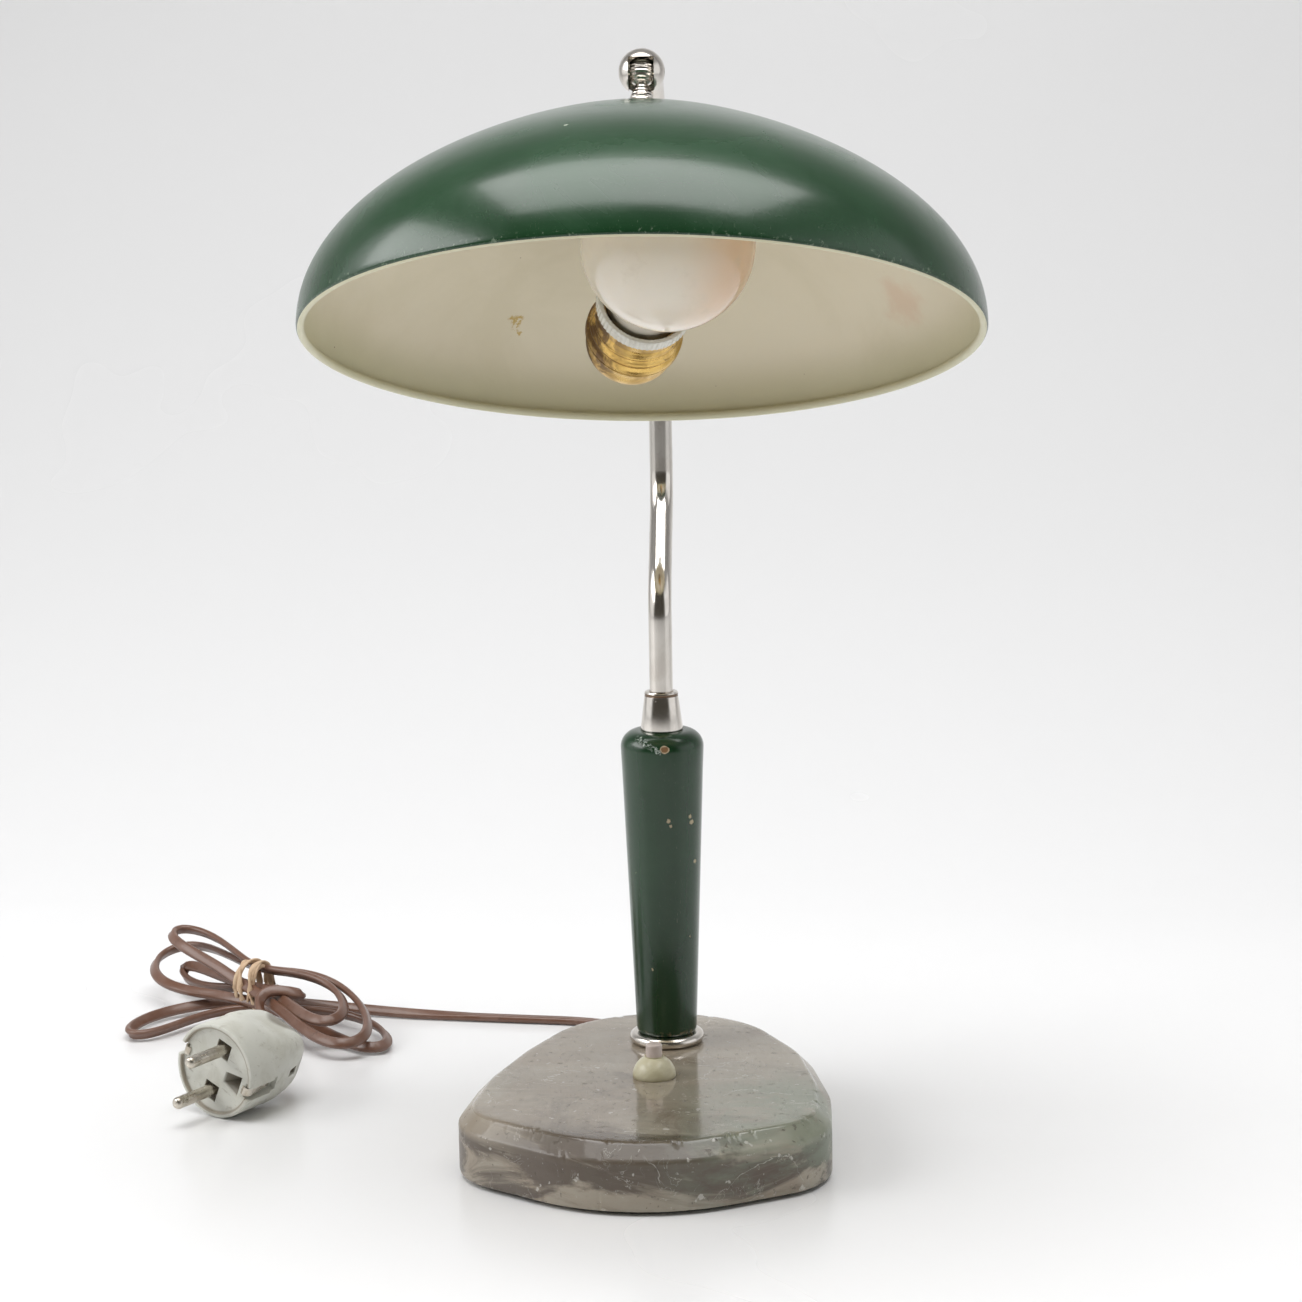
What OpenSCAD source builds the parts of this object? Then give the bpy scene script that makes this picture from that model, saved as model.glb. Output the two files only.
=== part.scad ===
// Table lamp with a spun steel shade on a slotted ball joint, a bent chrome arm,
// a turned wooden stem and a polished stone foot. Millimetres, Z up, the origin on
// the table under the stem, and the front of the lamp towards -Y.

/* [Foot] */
// Height of the foot with its felt
foot_h = 26; // [20:0.5:34]
// Width of the bevel round the top face
foot_bevel = 6; // [3:0.5:7]
// Scale of the foot's outline
foot_scale = 1; // [0.8:0.01:1.25]
// Thickness of the felt
felt_t = 1.5; // [1:0.1:3]
// How far the felt stays inside the foot
felt_inset = 4; // [2:0.5:8]
// Thickness of the chrome ring under the stem
ring_h = 4.2; // [3:0.1:6]
// Outer diameter of the chrome ring
ring_d = 29.2; // [27:0.1:36]

/* [Stem] */
// Length of the wooden stem
stem_l = 120.3; // [95:0.5:150]
// Diameter at the shoulder
stem_top_d = 32; // [28:0.5:40]
// Diameter at the bottom
stem_bottom_d = 23.4; // [20:0.1:27]
// Radius of the shoulder
stem_round = 6.5; // [3:0.5:9]
// Outer diameter of the threaded rod inside
rod_d = 10; // [8:0.1:12]
// Length of the chrome cone above the stem
ferrule_h = 15; // [12:0.5:20]
// Lower diameter of the chrome cone
ferrule_d = 16.4; // [15:0.1:20]
// Upper diameter of the chrome cone
ferrule_top_d = 12.8; // [11.6:0.1:15]

/* [Arm] */
// Outer diameter of the tube
tube_d = 9; // [8:0.1:10.4]
// Wall of the tube
tube_wall = 0.85; // [0.6:0.05:1.2]
// Turn of the arm about the stem
arm_turn = 4; // [-15:1:15]
// Straight length above the cone
arm_foot_l = 27.7; // [15:0.1:45]
// How far the arm is set back above its double bend
arm_setback = 36; // [28:1:50]
// Angle of the double bend
arm_bend = 48; // [35:1:60]
// Radius of the double bend
arm_bend_r = 24; // [16:1:24]
// Straight length behind the shade
arm_rise_l = 100.6; // [80:0.5:125]
// Radius of the top bend
arm_top_r = 52; // [40:1:62]
// Reach from the rear tube to the ball
arm_reach = 114; // [105:1:140]

/* [Ball joint] */
// Diameter of the slotted ball
ball_d = 16.2; // [14:0.1:20]
// Width of its slot
slot_w = 9; // [8.4:0.1:10]
// Diameter of the cross pin
pin_d = 3; // [2.5:0.1:4]
// Tilt of the shade, its front edge up
shade_tilt = 20; // [8:1:50]
// Ball centre to the crown of the shade
neck_l = 14.8; // [13:0.1:20]
// Diameter of the threaded tail
tail_d = 8; // [6:0.1:8]

/* [Shade] */
// Diameter of the rim
shade_d = 236; // [190:1:240]
// Depth from the crown to the rim
shade_h = 79.4; // [68:0.2:96]
// Thickness of the steel
shade_t = 1; // [0.7:0.1:1.5]
// Radius of the rolled rim
rim_r = 1.5; // [1.1:0.1:2.2]
// Diameter of the flat crown
crown_d = 18; // [16:0.5:24]

/* [Lampholder and bulb] */
// Diameter of the bulb
bulb_d = 60; // [50:0.5:64]
// Centre of the bulb above the rim plane
bulb_rise = 28; // [26:0.5:36]
// Centre of the bulb in front of the crown
bulb_front = 15; // [10:1:25]
// Centre of the bulb to the side of the crown
bulb_side = 6; // [0:0.5:6]
// Angle of the bulb into the shade
bulb_angle = 14; // [8:1:20]
// Turn of the lampholder about the neck
holder_turn = 14; // [-40:1:40]
// Outer diameter of the brass lampholder
holder_d = 35; // [34:0.1:38]
// Width of the steel strap
strap_w = 16; // [14:0.5:20]
// Thickness of the steel strap
strap_t = 2; // [1.5:0.1:3]

/* [Switch] */
// Switch in front of the stem
switch_front = 46; // [42:1:58]
// Diameter of the dome
dome_d = 16.4; // [15:0.1:20]
// Height of the dome
dome_h = 8.2; // [7:0.1:12]
// Diameter of the button
button_d = 6.2; // [5:0.1:7]
// How far the button stands above the dome
button_out = 4.6; // [4:0.1:9]
// Travel of the button
button_travel = 3; // [2:0.1:4]

/* [Cord and plug] */
// Width of the flat cord
cord_w = 4.8; // [4.4:0.1:6]
// Thickness of the flat cord
cord_t = 3; // [2.6:0.1:3.6]
// Diameter of the plug's face
plug_d = 38; // [36:0.5:40]
// Length of the plug's body
plug_l = 38; // [34:0.5:44]
// Height of the tied hank
hank_h = 30; // [26:1:36]

/* [Hidden] */
$fn = 64;

// Clearances: a press fit touches, a running fit turns, and a gap keeps faces apart
run_gap = 0.08;
face_gap = 0.1;
loose_gap = 0.3;
bore_gap = 0.1;
cut = 1;

// Foot: circles whose hull is the outline, each as x, y and radius
outline = [[0, -60, 67.5], [39, -80, 30], [-39, -80, 30], [0, -32, 61], [-2, -9, 51.5]];
foot_back_y = 42.5 * foot_scale;
well_d = 27;
well_top = foot_h - 12;
rod_seat = well_top;
washer_t = 1.2;
washer_d = 22;
nut_h = 5;
nut_af = 17;
rod_tail = 0.6;
rod_rise = 7.3;
groove_w = 8.4;
groove_top = 8.6;

// Heights up the middle
ring_top = foot_h + ring_h;
stem_top = ring_top + stem_l;
rod_top = stem_top + rod_rise;
rod_bottom = rod_seat - washer_t - nut_h - rod_tail;
rod_bore_d = 7;
ferrule_top = stem_top + ferrule_h;
tube_seat = rod_top + loose_gap;
tube_bore_d = tube_d - 2 * tube_wall;

// Arm: places along its middle line, as y and z in the arm's own plane
tube_stand_off = 0.2;
bend_back = arm_bend_r * (1 - cos(arm_bend));
bend_up = arm_bend_r * sin(arm_bend);
slope_l = (arm_setback - 2 * bend_back) / sin(arm_bend);
arm_z1 = ferrule_top + arm_foot_l;
arm_z2 = arm_z1 + bend_up;
arm_z3 = arm_z2 + slope_l * cos(arm_bend);
arm_z4 = arm_z3 + bend_up;
arm_z5 = arm_z4 + arm_rise_l;
ball_y = arm_setback - arm_reach;
ball_z = arm_z5 + arm_top_r;
tube_end_y = ball_y + ball_d / 2 + tube_stand_off;
arm_stations = concat([[0, tube_seat, 0]],
    [for (k = [0:6]) let(a = arm_bend * k / 6)
        [arm_bend_r * (1 - cos(a)), arm_z1 + arm_bend_r * sin(a), a]],
    [for (k = [6:-1:0]) let(a = arm_bend * k / 6)
        [arm_setback - arm_bend_r * (1 - cos(a)), arm_z4 - arm_bend_r * sin(a), a]],
    [for (a = [0:7.5:90]) [arm_setback - arm_top_r * (1 - cos(a)), arm_z5 + arm_top_r * sin(a), -a]],
    [[tube_end_y, ball_z, -90]]);

// Strap under the crown
strap_boss = 2.4;
strap_seat = 10;

// Ball joint
collar_r = tube_d / 2 + 0.6;
collar_y = tube_end_y - ball_y;
spigot_l = 8;
tongue_r = 5.3;
tongue_w = slot_w - 3 * loose_gap;
socket_r = tongue_r + 0.5;
slot_back = 3.2;
neck_d = 4.2;
neck_flare_d = slot_w - 2 * loose_gap - bore_gap;
neck_from_z = -4.6;
collar_top = 9.5;
collar_groove = 0.4;
washer_top = neck_l - 1;
tail_l = strap_boss + strap_t + 8;
tail_nut_h = 4.4;
tail_nut_af = 13;
wire_d = 2.4;
wire_bore_top = 3;

// Shade: a rounded cone that swells towards the rim
shade_r = shade_d / 2;
crown_r = crown_d / 2;
shade_full_h = shade_h / (1 - crown_drop(crown_r / shade_r));
rim_z = -neck_l - shade_h;
profile_steps = 30;
function crown_drop(k) = 1 - pow(1 - pow(k, 1.25), 1 / 2.1);
function shade_r_at(k) = crown_r + (shade_r - crown_r) * sin(90 * k);
function shade_z_at(r) = shade_full_h * (crown_drop(r / shade_r) - crown_drop(crown_r / shade_r));
function shade_points(thick) = [for (i = [0:profile_steps])
    let(r = shade_r_at(i / profile_steps)) [r - thick * pow(i / profile_steps, 2),
        -neck_l - shade_z_at(r) - thick * (1 - pow(i / profile_steps, 2))]];

// Lampholder: heights along the bulb's own axis from the middle of the bulb
bulb_r = bulb_d / 2;
neck_from = 40;
neck_power = 2.35;
cap_r = 13.2;
glass_t = 0.8;
cap_end = neck_from + 25;
insulator_end = cap_end + 2.6;
bulb_end = insulator_end + 1.4;
ring_front = 39;
ring_back = 44;
shell_back = 62;
cap_back = 77;
holder_r = holder_d / 2;
holder_wall = 0.9;
insert_r = holder_r - 2.4;
nipple_d = 10;
nipple_bore_d = 7;
nipple_out = 5;
nipple_in = 3;
holder_nut_h = 3;
holder_nut_af = 14;
cap_flat_r = 9;
cap_bulge = 9;
cap_lip = 1;
cap_wall_r = holder_r - 1.3;
insert_back = bulb_end + 4;
insert_back_r = 8;
insert_from = 67;
contact_t = 1.2;

// Switch
neck_hole_d = 12.2;
switch_neck_d = 12;
switch_well_d = 28;
switch_well_top = foot_h - 9;
switch_body_d = 26;
button_flange_d = 8.6;
switch_floor = switch_well_top - 0.4;
switch_floor_t = 1;
button_foot = switch_floor + switch_floor_t + button_travel + 0.2;
switch_collar = 4;
flange_t = 1.6;

// Cord and plug: the cord's routes are chosen points
sleeve_l = 24;
sleeve_y = foot_back_y - 4;
sleeve_x = -6;
sleeve_z = 4.4;
sleeve_d = 7.6;
sleeve_end_d = 6.2;
flex_d = 4.2;
lead_route = [[sleeve_x, sleeve_y + sleeve_l, sleeve_z], [-6, 68, 3.4], [-8, 80, 1.9],
    [-20, 95, 1.7], [-42, 103, 1.7], [-75, 105, 1.7], [-106, 107, 1.7], [-134, 106, 1.7]];
hank_corners = [[-236, 138], [-232, 74], [-134, 58], [-146, 104]];
hank_round = 14;
hank_lift = 0.1;
tie_at = [-190, 97];
tie_turn = 25;
tie_w = 12;
tie_t = 1.4;
plug_at = [-175, -28];
plug_turn = -27;
plug_roll = -23;
plug_r = plug_d / 2;
plug_z = plug_r + 0.1;
plug_grip_r = 13.5;
plug_face_l = 16;
plug_pin_r = 2.4;
plug_pin_l = 19;
plug_pin_in = 12;
plug_pin_gap = 19;
plug_rear = [plug_at[0] - plug_l * sin(plug_turn), plug_at[1] + plug_l * cos(plug_turn)];
tail_route = [[plug_rear[0], plug_rear[1], plug_z], [-157, 16, 18.8], [-159, 29, 16.5],
    [-163, 42, 12.5], [-167, 54, 11]];

// Places
module in_arm() rotate([0, 0, arm_turn]) children();
module at_ball() in_arm() translate([0, ball_y, ball_z]) children();
module on_neck() at_ball() rotate([-shade_tilt, 0, 0]) children();
module at_holder() on_neck() rotate([0, 0, holder_turn]) children();
module at_bulb() at_holder() translate([bulb_side, -bulb_front, rim_z + bulb_rise])
    rotate([90 - bulb_angle, 0, 0]) children();
module at_switch() translate([0, -switch_front, 0]) children();
module at_plug() translate([plug_at[0], plug_at[1], plug_z]) rotate([90, 0, plug_turn])
    rotate([0, 0, plug_roll]) children();

// Shapes that repeat
module ring(outer_r, inner_r, z, h) translate([0, 0, z]) difference() {
    cylinder(r = outer_r, h = h);
    translate([0, 0, -cut]) cylinder(r = inner_r, h = h + 2 * cut);
}
module hex_nut(flats, bore, z, h) translate([0, 0, z]) difference() {
    cylinder(d = flats / cos(30), h = h, $fn = 6);
    translate([0, 0, -cut]) cylinder(d = bore, h = h + 2 * cut);
}
module foot_outline(inset) hull() for (c = outline)
    translate([c[0], c[1]] * foot_scale) circle(r = c[2] * foot_scale - inset, $fn = 96);
module turned(points) rotate_extrude($fn = 96) polygon(points);
// A tube swept in the arm's own plane: each station is y, z and its slope from upright
function station(a, side) = let(across = [0, cos(a[2]), -sin(a[2])])
    [for (d = [tube_d, tube_bore_d], k = [0:side - 1])
        [d / 2 * cos(360 * k / side), a[0], a[1]] + across * d / 2 * sin(360 * k / side)];
module swept_tube(stations, side) {
    n = len(stations);
    round = 2 * side;
    polyhedron(
        points = [for (a = stations) each station(a, side)],
        faces = [for (k = [0:side - 1]) let(m = (k + 1) % side) each concat(
            [[m, side + m, side + k, k]],
            [[for (q = [k, side + k, side + m, m]) (n - 1) * round + q]],
            [for (i = [0:n - 2]) each [
                [(i + 1) * round + k, (i + 1) * round + m, i * round + m, i * round + k],
                [(i + 1) * round + side + m, (i + 1) * round + side + k,
                    i * round + side + k, i * round + side + m]]])],
        convexity = 8);
}

// A flat cord: rings swept along a smooth curve through the route
function spline(a, b, c, d, t) = 0.5 * (2 * b + (c - a) * t
    + (2 * a - 5 * b + 4 * c - d) * t * t + (3 * b - a - 3 * c + d) * t * t * t);
function curve(route, per) = let(n = len(route)) concat(
    [for (i = [0:n - 2], j = [0:per - 1]) spline(route[max(i - 1, 0)], route[i],
        route[i + 1], route[min(i + 2, n - 1)], j / per)], [route[n - 1]]);
function along(path, i) = let(d = path[min(i + 1, len(path) - 1)] - path[max(i - 1, 0)]) d / norm(d);
function cord_ring(path, i) = let(d = along(path, i), s = [d[1], -d[0], 0] / norm([d[0], d[1]]),
    u = cross(s, d)) [for (k = [0:7]) path[i] + s * cord_w / 2 * cos(45 * k + 22.5)
        + u * cord_t / 2 * sin(45 * k + 22.5)];
module swept_cord(route, per) {
    path = curve(route, per);
    n = len(path);
    polyhedron(
        points = [for (i = [0:n - 1]) each cord_ring(path, i)],
        faces = concat([[for (k = [7:-1:0]) k]], [[for (k = [0:7]) (n - 1) * 8 + k]],
            [for (i = [0:n - 2], k = [0:7])
                [i * 8 + (k + 1) % 8, (i + 1) * 8 + (k + 1) % 8, (i + 1) * 8 + k, i * 8 + k]]),
        convexity = 6);
}

// Foot
module stone_foot() color("#8d8377") difference() {
    hull() {
        translate([0, 0, felt_t]) linear_extrude(foot_h - felt_t - foot_bevel) foot_outline(0);
        translate([0, 0, foot_h - 0.01]) linear_extrude(0.01) foot_outline(foot_bevel);
    }
    translate([0, 0, -cut]) cylinder(d = rod_d + 0.6, h = foot_h + 2 * cut);
    translate([0, 0, -cut]) cylinder(d = well_d, h = well_top + cut);
    at_switch() translate([0, 0, -cut]) cylinder(d = neck_hole_d, h = foot_h + 2 * cut);
    at_switch() translate([0, 0, -cut]) cylinder(d = switch_well_d, h = switch_well_top + cut);
    translate([sleeve_x - groove_w / 2, -switch_front, -cut])
        cube([groove_w, switch_front + foot_back_y + 20, groove_top + cut]);
}
module foot_felt() color("#2c3a2e") linear_extrude(felt_t) foot_outline(felt_inset);
module foot_ring() color("#c9c4bb") turned([
    [rod_d / 2 + bore_gap, foot_h],
    for (a = [-90:15:90]) [ring_d / 2 - ring_h / 2 + ring_h / 2 * cos(a),
        foot_h + ring_h / 2 + ring_h / 2 * sin(a)],
    [rod_d / 2 + bore_gap, ring_top]]);

// Stem
module wooden_stem() color("#17512f") turned([
    [rod_d / 2 + 0.2, ring_top], [stem_bottom_d / 2 - 1.2, ring_top],
    [stem_bottom_d / 2 - 0.4, ring_top + 0.4], [stem_bottom_d / 2, ring_top + 1.4],
    for (a = [0:10:90]) [stem_top_d / 2 - stem_round + stem_round * cos(a),
        stem_top - stem_round + stem_round * sin(a)],
    [rod_d / 2 + 0.2, stem_top]]);
module threaded_rod() color("#9a958c") ring(rod_d / 2, rod_bore_d / 2, rod_bottom, rod_top - rod_bottom);
module rod_washer() color("#a8a399") ring(washer_d / 2, rod_d / 2 + bore_gap, rod_seat - washer_t, washer_t);
module rod_nut() color("#a8a399") hex_nut(nut_af, rod_d, rod_seat - washer_t - nut_h, nut_h);
module ferrule() color("#cfcac1") turned([
    [rod_d / 2, stem_top], [ferrule_d / 2, stem_top],
    [ferrule_top_d / 2 + 0.1, ferrule_top - 1.4], [ferrule_top_d / 2, ferrule_top - 0.5],
    [ferrule_top_d / 2 - 0.5, ferrule_top], [tube_d / 2, ferrule_top],
    [tube_d / 2, tube_seat], [rod_d / 2, tube_seat]]);

// Arm
module arm_tube() color("#cfcac1") in_arm() swept_tube(arm_stations, 20);

// Ball joint
module knuckle_ball() color("#d3cec4") at_ball() difference() {
    union() {
        rotate([0, 90, 0]) sphere(d = ball_d, $fn = 96);
        rotate([-90, 0, 0]) cylinder(r = collar_r, h = collar_y);
        rotate([-90, 0, 0]) cylinder(d = tube_bore_d, h = collar_y + spigot_l);
    }
    rotate([0, 90, 0]) translate([0, 0, -slot_w / 2]) cylinder(r = socket_r, h = slot_w);
    translate([-slot_w / 2, -ball_d, -ball_d]) cube([slot_w, ball_d, ball_d + tongue_r]);
    translate([-slot_w / 2, -ball_d, -ball_d]) cube([slot_w, ball_d + slot_back, ball_d]);
    rotate([0, 90, 0]) translate([0, 0, -ball_d]) cylinder(d = pin_d, h = 2 * ball_d);
    rotate([-90, 0, 0]) cylinder(d = wire_d, h = ball_d + spigot_l + cut);
}
module knuckle_pin() color("#b9b4aa") at_ball() rotate([0, 90, 0])
    cylinder(d = pin_d, h = ball_d - 4 * loose_gap, center = true);
module knuckle_tongue() color("#c6c0b4") on_neck() difference() {
    union() {
        intersection() {
            sphere(r = tongue_r, $fn = 96);
            cube([tongue_w, 3 * tongue_r, 3 * tongue_r], center = true);
        }
        turned([[0, -neck_d / 2], [neck_d / 2, -neck_d / 2], [neck_d / 2, neck_from_z],
            [neck_flare_d / 2, -collar_top], [neck_flare_d / 2, -collar_top - 1],
            [neck_flare_d / 2 - collar_groove, -collar_top - 1 - collar_groove],
            [neck_flare_d / 2, -collar_top - 1 - 2 * collar_groove],
            [neck_flare_d / 2 + collar_groove, face_gap - washer_top],
            [tail_d / 2, face_gap - washer_top], [tail_d / 2, -neck_l - tail_l],
            [0, -neck_l - tail_l]]);
    }
    rotate([0, 90, 0]) translate([0, 0, -slot_w]) cylinder(d = pin_d + 2 * run_gap, h = 2 * slot_w);
    translate([0, 0, -neck_l - tail_l - cut]) cylinder(d = wire_d, h = tail_l + neck_l + cut - wire_bore_top);
}
module tail_nut() color("#a8a399") on_neck() hex_nut(tail_nut_af, tail_d,
    strap_top_z - strap_t - face_gap - tail_nut_h, tail_nut_h);

// Shade
module crown_washer() color("#c2bdb2") on_neck()
    ring(crown_r - 1, tail_d / 2 + run_gap, -neck_l, neck_l - washer_top);
module lamp_shade() color("#14502c") on_neck() difference() {
    turned(concat([[0, -neck_l]], shade_points(0),
        [for (a = [30:30:240]) [shade_r - rim_r + rim_r * cos(a), rim_z - rim_r * sin(a)]],
        [for (i = [profile_steps:-1:0]) shade_points(shade_t)[i]], [[0, -neck_l - shade_t]]));
    translate([0, 0, -neck_l - shade_t - cut])
        cylinder(r = tail_d / 2 + run_gap, h = shade_t + 2 * cut);
}

// Lampholder on its bent strap, whose leg leaves the plate above the nut
plate_z = -cap_back - strap_t;
plate_up = holder_r - 1.5;
plate_down = holder_nut_af / 2;
function bulb_to_holder(up, z) = let(a = 90 - bulb_angle)
    [-bulb_front + up * cos(a) - z * sin(a), rim_z + bulb_rise + up * sin(a) + z * cos(a)];
plate_high = bulb_to_holder(plate_up, -cap_back);
strap_top_z = -neck_l - shade_t - strap_boss;
module at_plate() translate([bulb_side, -bulb_front, rim_z + bulb_rise])
    rotate([90 - bulb_angle, 0, 0]) translate([0, 0, plate_z]) children();
module holder_strap() color("#8f8b84") at_holder() difference() {
    union() {
        translate([bulb_side - strap_w / 2, 0, 0]) rotate([90, 0, 90]) linear_extrude(strap_w)
            polygon([[-strap_seat, strap_top_z], [strap_seat + 1, strap_top_z],
                bulb_to_holder(plate_up, plate_z), bulb_to_holder(-plate_down, plate_z),
                bulb_to_holder(-plate_down, -cap_back), plate_high - [0, strap_t],
                [strap_seat, strap_top_z - strap_t], [-strap_seat, strap_top_z - strap_t]]);
        translate([0, 0, strap_top_z - strap_t]) cylinder(r = crown_r - 1, h = strap_boss + strap_t);
    }
    translate([0, 0, strap_top_z - strap_t - cut])
        cylinder(r = tail_d / 2 + run_gap, h = strap_boss + strap_t + 2 * cut);
    at_plate() translate([0, 0, -cut]) cylinder(d = nipple_d, h = strap_t + 2 * cut);
}
module holder_nipple() color("#a8a399") at_bulb()
    ring(nipple_d / 2, nipple_bore_d / 2, plate_z - nipple_out, strap_t + nipple_out + nipple_in);
module holder_nut() color("#a8a399") at_bulb() hex_nut(holder_nut_af, nipple_d, plate_z - holder_nut_h, holder_nut_h);
function cap_bowl(skin) = [for (a = [0:15:90])
    [cap_flat_r + (cap_wall_r - cap_flat_r - skin) * sin(a),
        cap_bulge - cap_back + (skin - cap_bulge) * cos(a)]];
module holder_cap() color("#a8812f") at_bulb() turned(concat(
    [[nipple_d / 2, -cap_back]], cap_bowl(0),
    [[cap_wall_r, -shell_back - cap_lip], [holder_r, -shell_back - cap_lip],
        [holder_r, -shell_back], [cap_wall_r - holder_wall, -shell_back]],
    [for (i = [6:-1:0]) cap_bowl(holder_wall)[i]], [[nipple_d / 2, holder_wall - cap_back]]));
// Steps of the collar: part of its length from the back, and how far in
collar_steps = [[0.16, 0], [0.22, 0.6], [0.4, 0.6], [0.46, 1.2], [0.66, 1.2], [0.74, 1.7], [1, 1.7]];
module holder_shell() color("#b58c34") at_bulb() turned(concat(
    [[cap_wall_r - holder_wall, -shell_back], [holder_r, -shell_back]],
    [for (c = collar_steps) [holder_r - c[1], -shell_back + (shell_back - ring_back) * c[0]]],
    [[insert_r, -ring_back], [insert_r, -shell_back]]));
module porcelain_insert() color("#e6e0d2") at_bulb() turned([
    [0, -insert_back], [insert_back_r, -insert_back], [insert_r, -insert_from],
    [insert_r, -ring_back], [cap_r + 0.8, -ring_back], [cap_r + 0.8, -cap_end - 1],
    [insert_back_r - 1, -bulb_end], [insert_back_r - 1, -bulb_end - contact_t],
    [0, -bulb_end - contact_t]]);
module screw_shell() color("#b08a3c") at_bulb()
    ring(cap_r + 0.8, cap_r + loose_gap, -cap_end - 1, cap_end + 1 - ring_back);
module centre_contact() color("#c09a4a") at_bulb() translate([0, 0, -bulb_end - contact_t])
    cylinder(r = 4, h = contact_t);
module porcelain_ring() color("#eeece6") at_bulb() turned([
    [cap_r + 0.8, -ring_back], [holder_r - 0.7, -ring_back], [holder_r - 0.4, -ring_back + 1],
    [holder_r - 0.4, -ring_front - 1], [holder_r - 0.9, -ring_front],
    [holder_r - 1.9, -ring_front], [holder_r - 2.2, -ring_front - 1],
    [cap_r + 1, -ring_back + 1]]);

// Bulb
glass_turn = 45;
glass_low = bulb_r * sin(glass_turn);
function glass_r(z, skin) = z > -glass_low ? sqrt(max(pow(bulb_r - skin, 2) - z * z, 0))
    : let(s = (z + neck_from) / (neck_from - glass_low))
        cap_r - skin + (bulb_r * cos(glass_turn) - cap_r) * pow(s, neck_power);
function glass_skin(skin) = concat(
    [for (i = [0:6]) let(z = -neck_from + (neck_from - glass_low) * i / 6) [glass_r(z, skin), z]],
    [for (a = [3 - glass_turn:6:87]) (bulb_r - skin) * [cos(a), sin(a)]]);
module bulb_glass() color("#efe6d6") at_bulb() turned(let(inner = glass_skin(glass_t)) concat(
    glass_skin(0), [[0, bulb_r], [0, bulb_r - glass_t]],
    [for (i = [len(inner) - 1:-1:0]) inner[i]]));
module bulb_cap() color("#c9c5bd") at_bulb()
    ring(cap_r, cap_r - 0.6, -cap_end, cap_end - neck_from);
module bulb_insulator() color("#26211e") at_bulb() translate([0, 0, -insulator_end])
    cylinder(r1 = 5, r2 = cap_r - 0.6, h = insulator_end - cap_end);
module bulb_contact() color("#b9b3a6") at_bulb() translate([0, 0, -bulb_end])
    cylinder(r1 = 4, r2 = 5, h = bulb_end - insulator_end);

// Switch
module switch_body() color("#4a3a2c") at_switch() difference() {
    union() {
        translate([0, 0, felt_t + 1]) cylinder(d = switch_body_d, h = switch_floor - felt_t - 1);
        translate([0, 0, switch_floor]) cylinder(d = switch_neck_d, h = foot_h + switch_collar - switch_floor);
    }
    translate([0, 0, switch_floor + switch_floor_t])
        cylinder(d = button_flange_d + 2 * loose_gap, h = foot_h + switch_collar - switch_floor);
    translate([sleeve_x - groove_w / 2, -1, -cut])
        cube([groove_w, switch_body_d, groove_top + cut]);
}
module switch_dome() color("#e9e2c9") at_switch() turned([
    [switch_neck_d / 2, foot_h], [dome_d / 2, foot_h],
    for (a = [8:10:78]) [1 + (dome_d / 2 - 1) * cos(a), foot_h + dome_h * sin(a)],
    [button_d / 2 + run_gap, foot_h + dome_h], [button_d / 2 + run_gap, foot_h + dome_h - 2.4],
    [switch_neck_d / 2, foot_h + switch_collar + bore_gap]]);
module switch_button() color("#efe3dd") at_switch() turned([
    [0, button_foot], [button_flange_d / 2, button_foot],
    [button_flange_d / 2, button_foot + flange_t], [button_d / 2, button_foot + flange_t],
    [button_d / 2, foot_h + dome_h + button_out - 0.7],
    [button_d / 2 - 0.25, foot_h + dome_h + button_out - 0.2],
    [button_d / 2 - 0.8, foot_h + dome_h + button_out], [0, foot_h + dome_h + button_out]]);

// Cord
module flex_in_foot() color("#6e4a3c") translate([sleeve_x, sleeve_y, sleeve_z])
    rotate([90, 0, 0]) cylinder(d = flex_d, h = sleeve_y + switch_front - 13);
module cord_sleeve() color("#3b2a22") translate([sleeve_x, sleeve_y, sleeve_z]) rotate([-90, 0, 0])
    cylinder(d1 = sleeve_d, d2 = sleeve_end_d, h = sleeve_l);
module cord_lead() color("#7a5142") swept_cord(lead_route, 4);
module cord_hank() color("#7a5142") translate([0, 0, hank_lift]) linear_extrude(hank_h)
    hull() for (c = hank_corners) translate(c) circle(r = hank_round, $fn = 32);
module hank_tie() color("#c9a988") translate([tie_at[0], tie_at[1], hank_lift + hank_h])
    rotate([0, 0, tie_turn]) translate([-tie_w / 2, -tie_w, 0]) cube([tie_w, 2 * tie_w, tie_t]);
module cord_tail() color("#7a5142") swept_cord(tail_route, 3);

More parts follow.
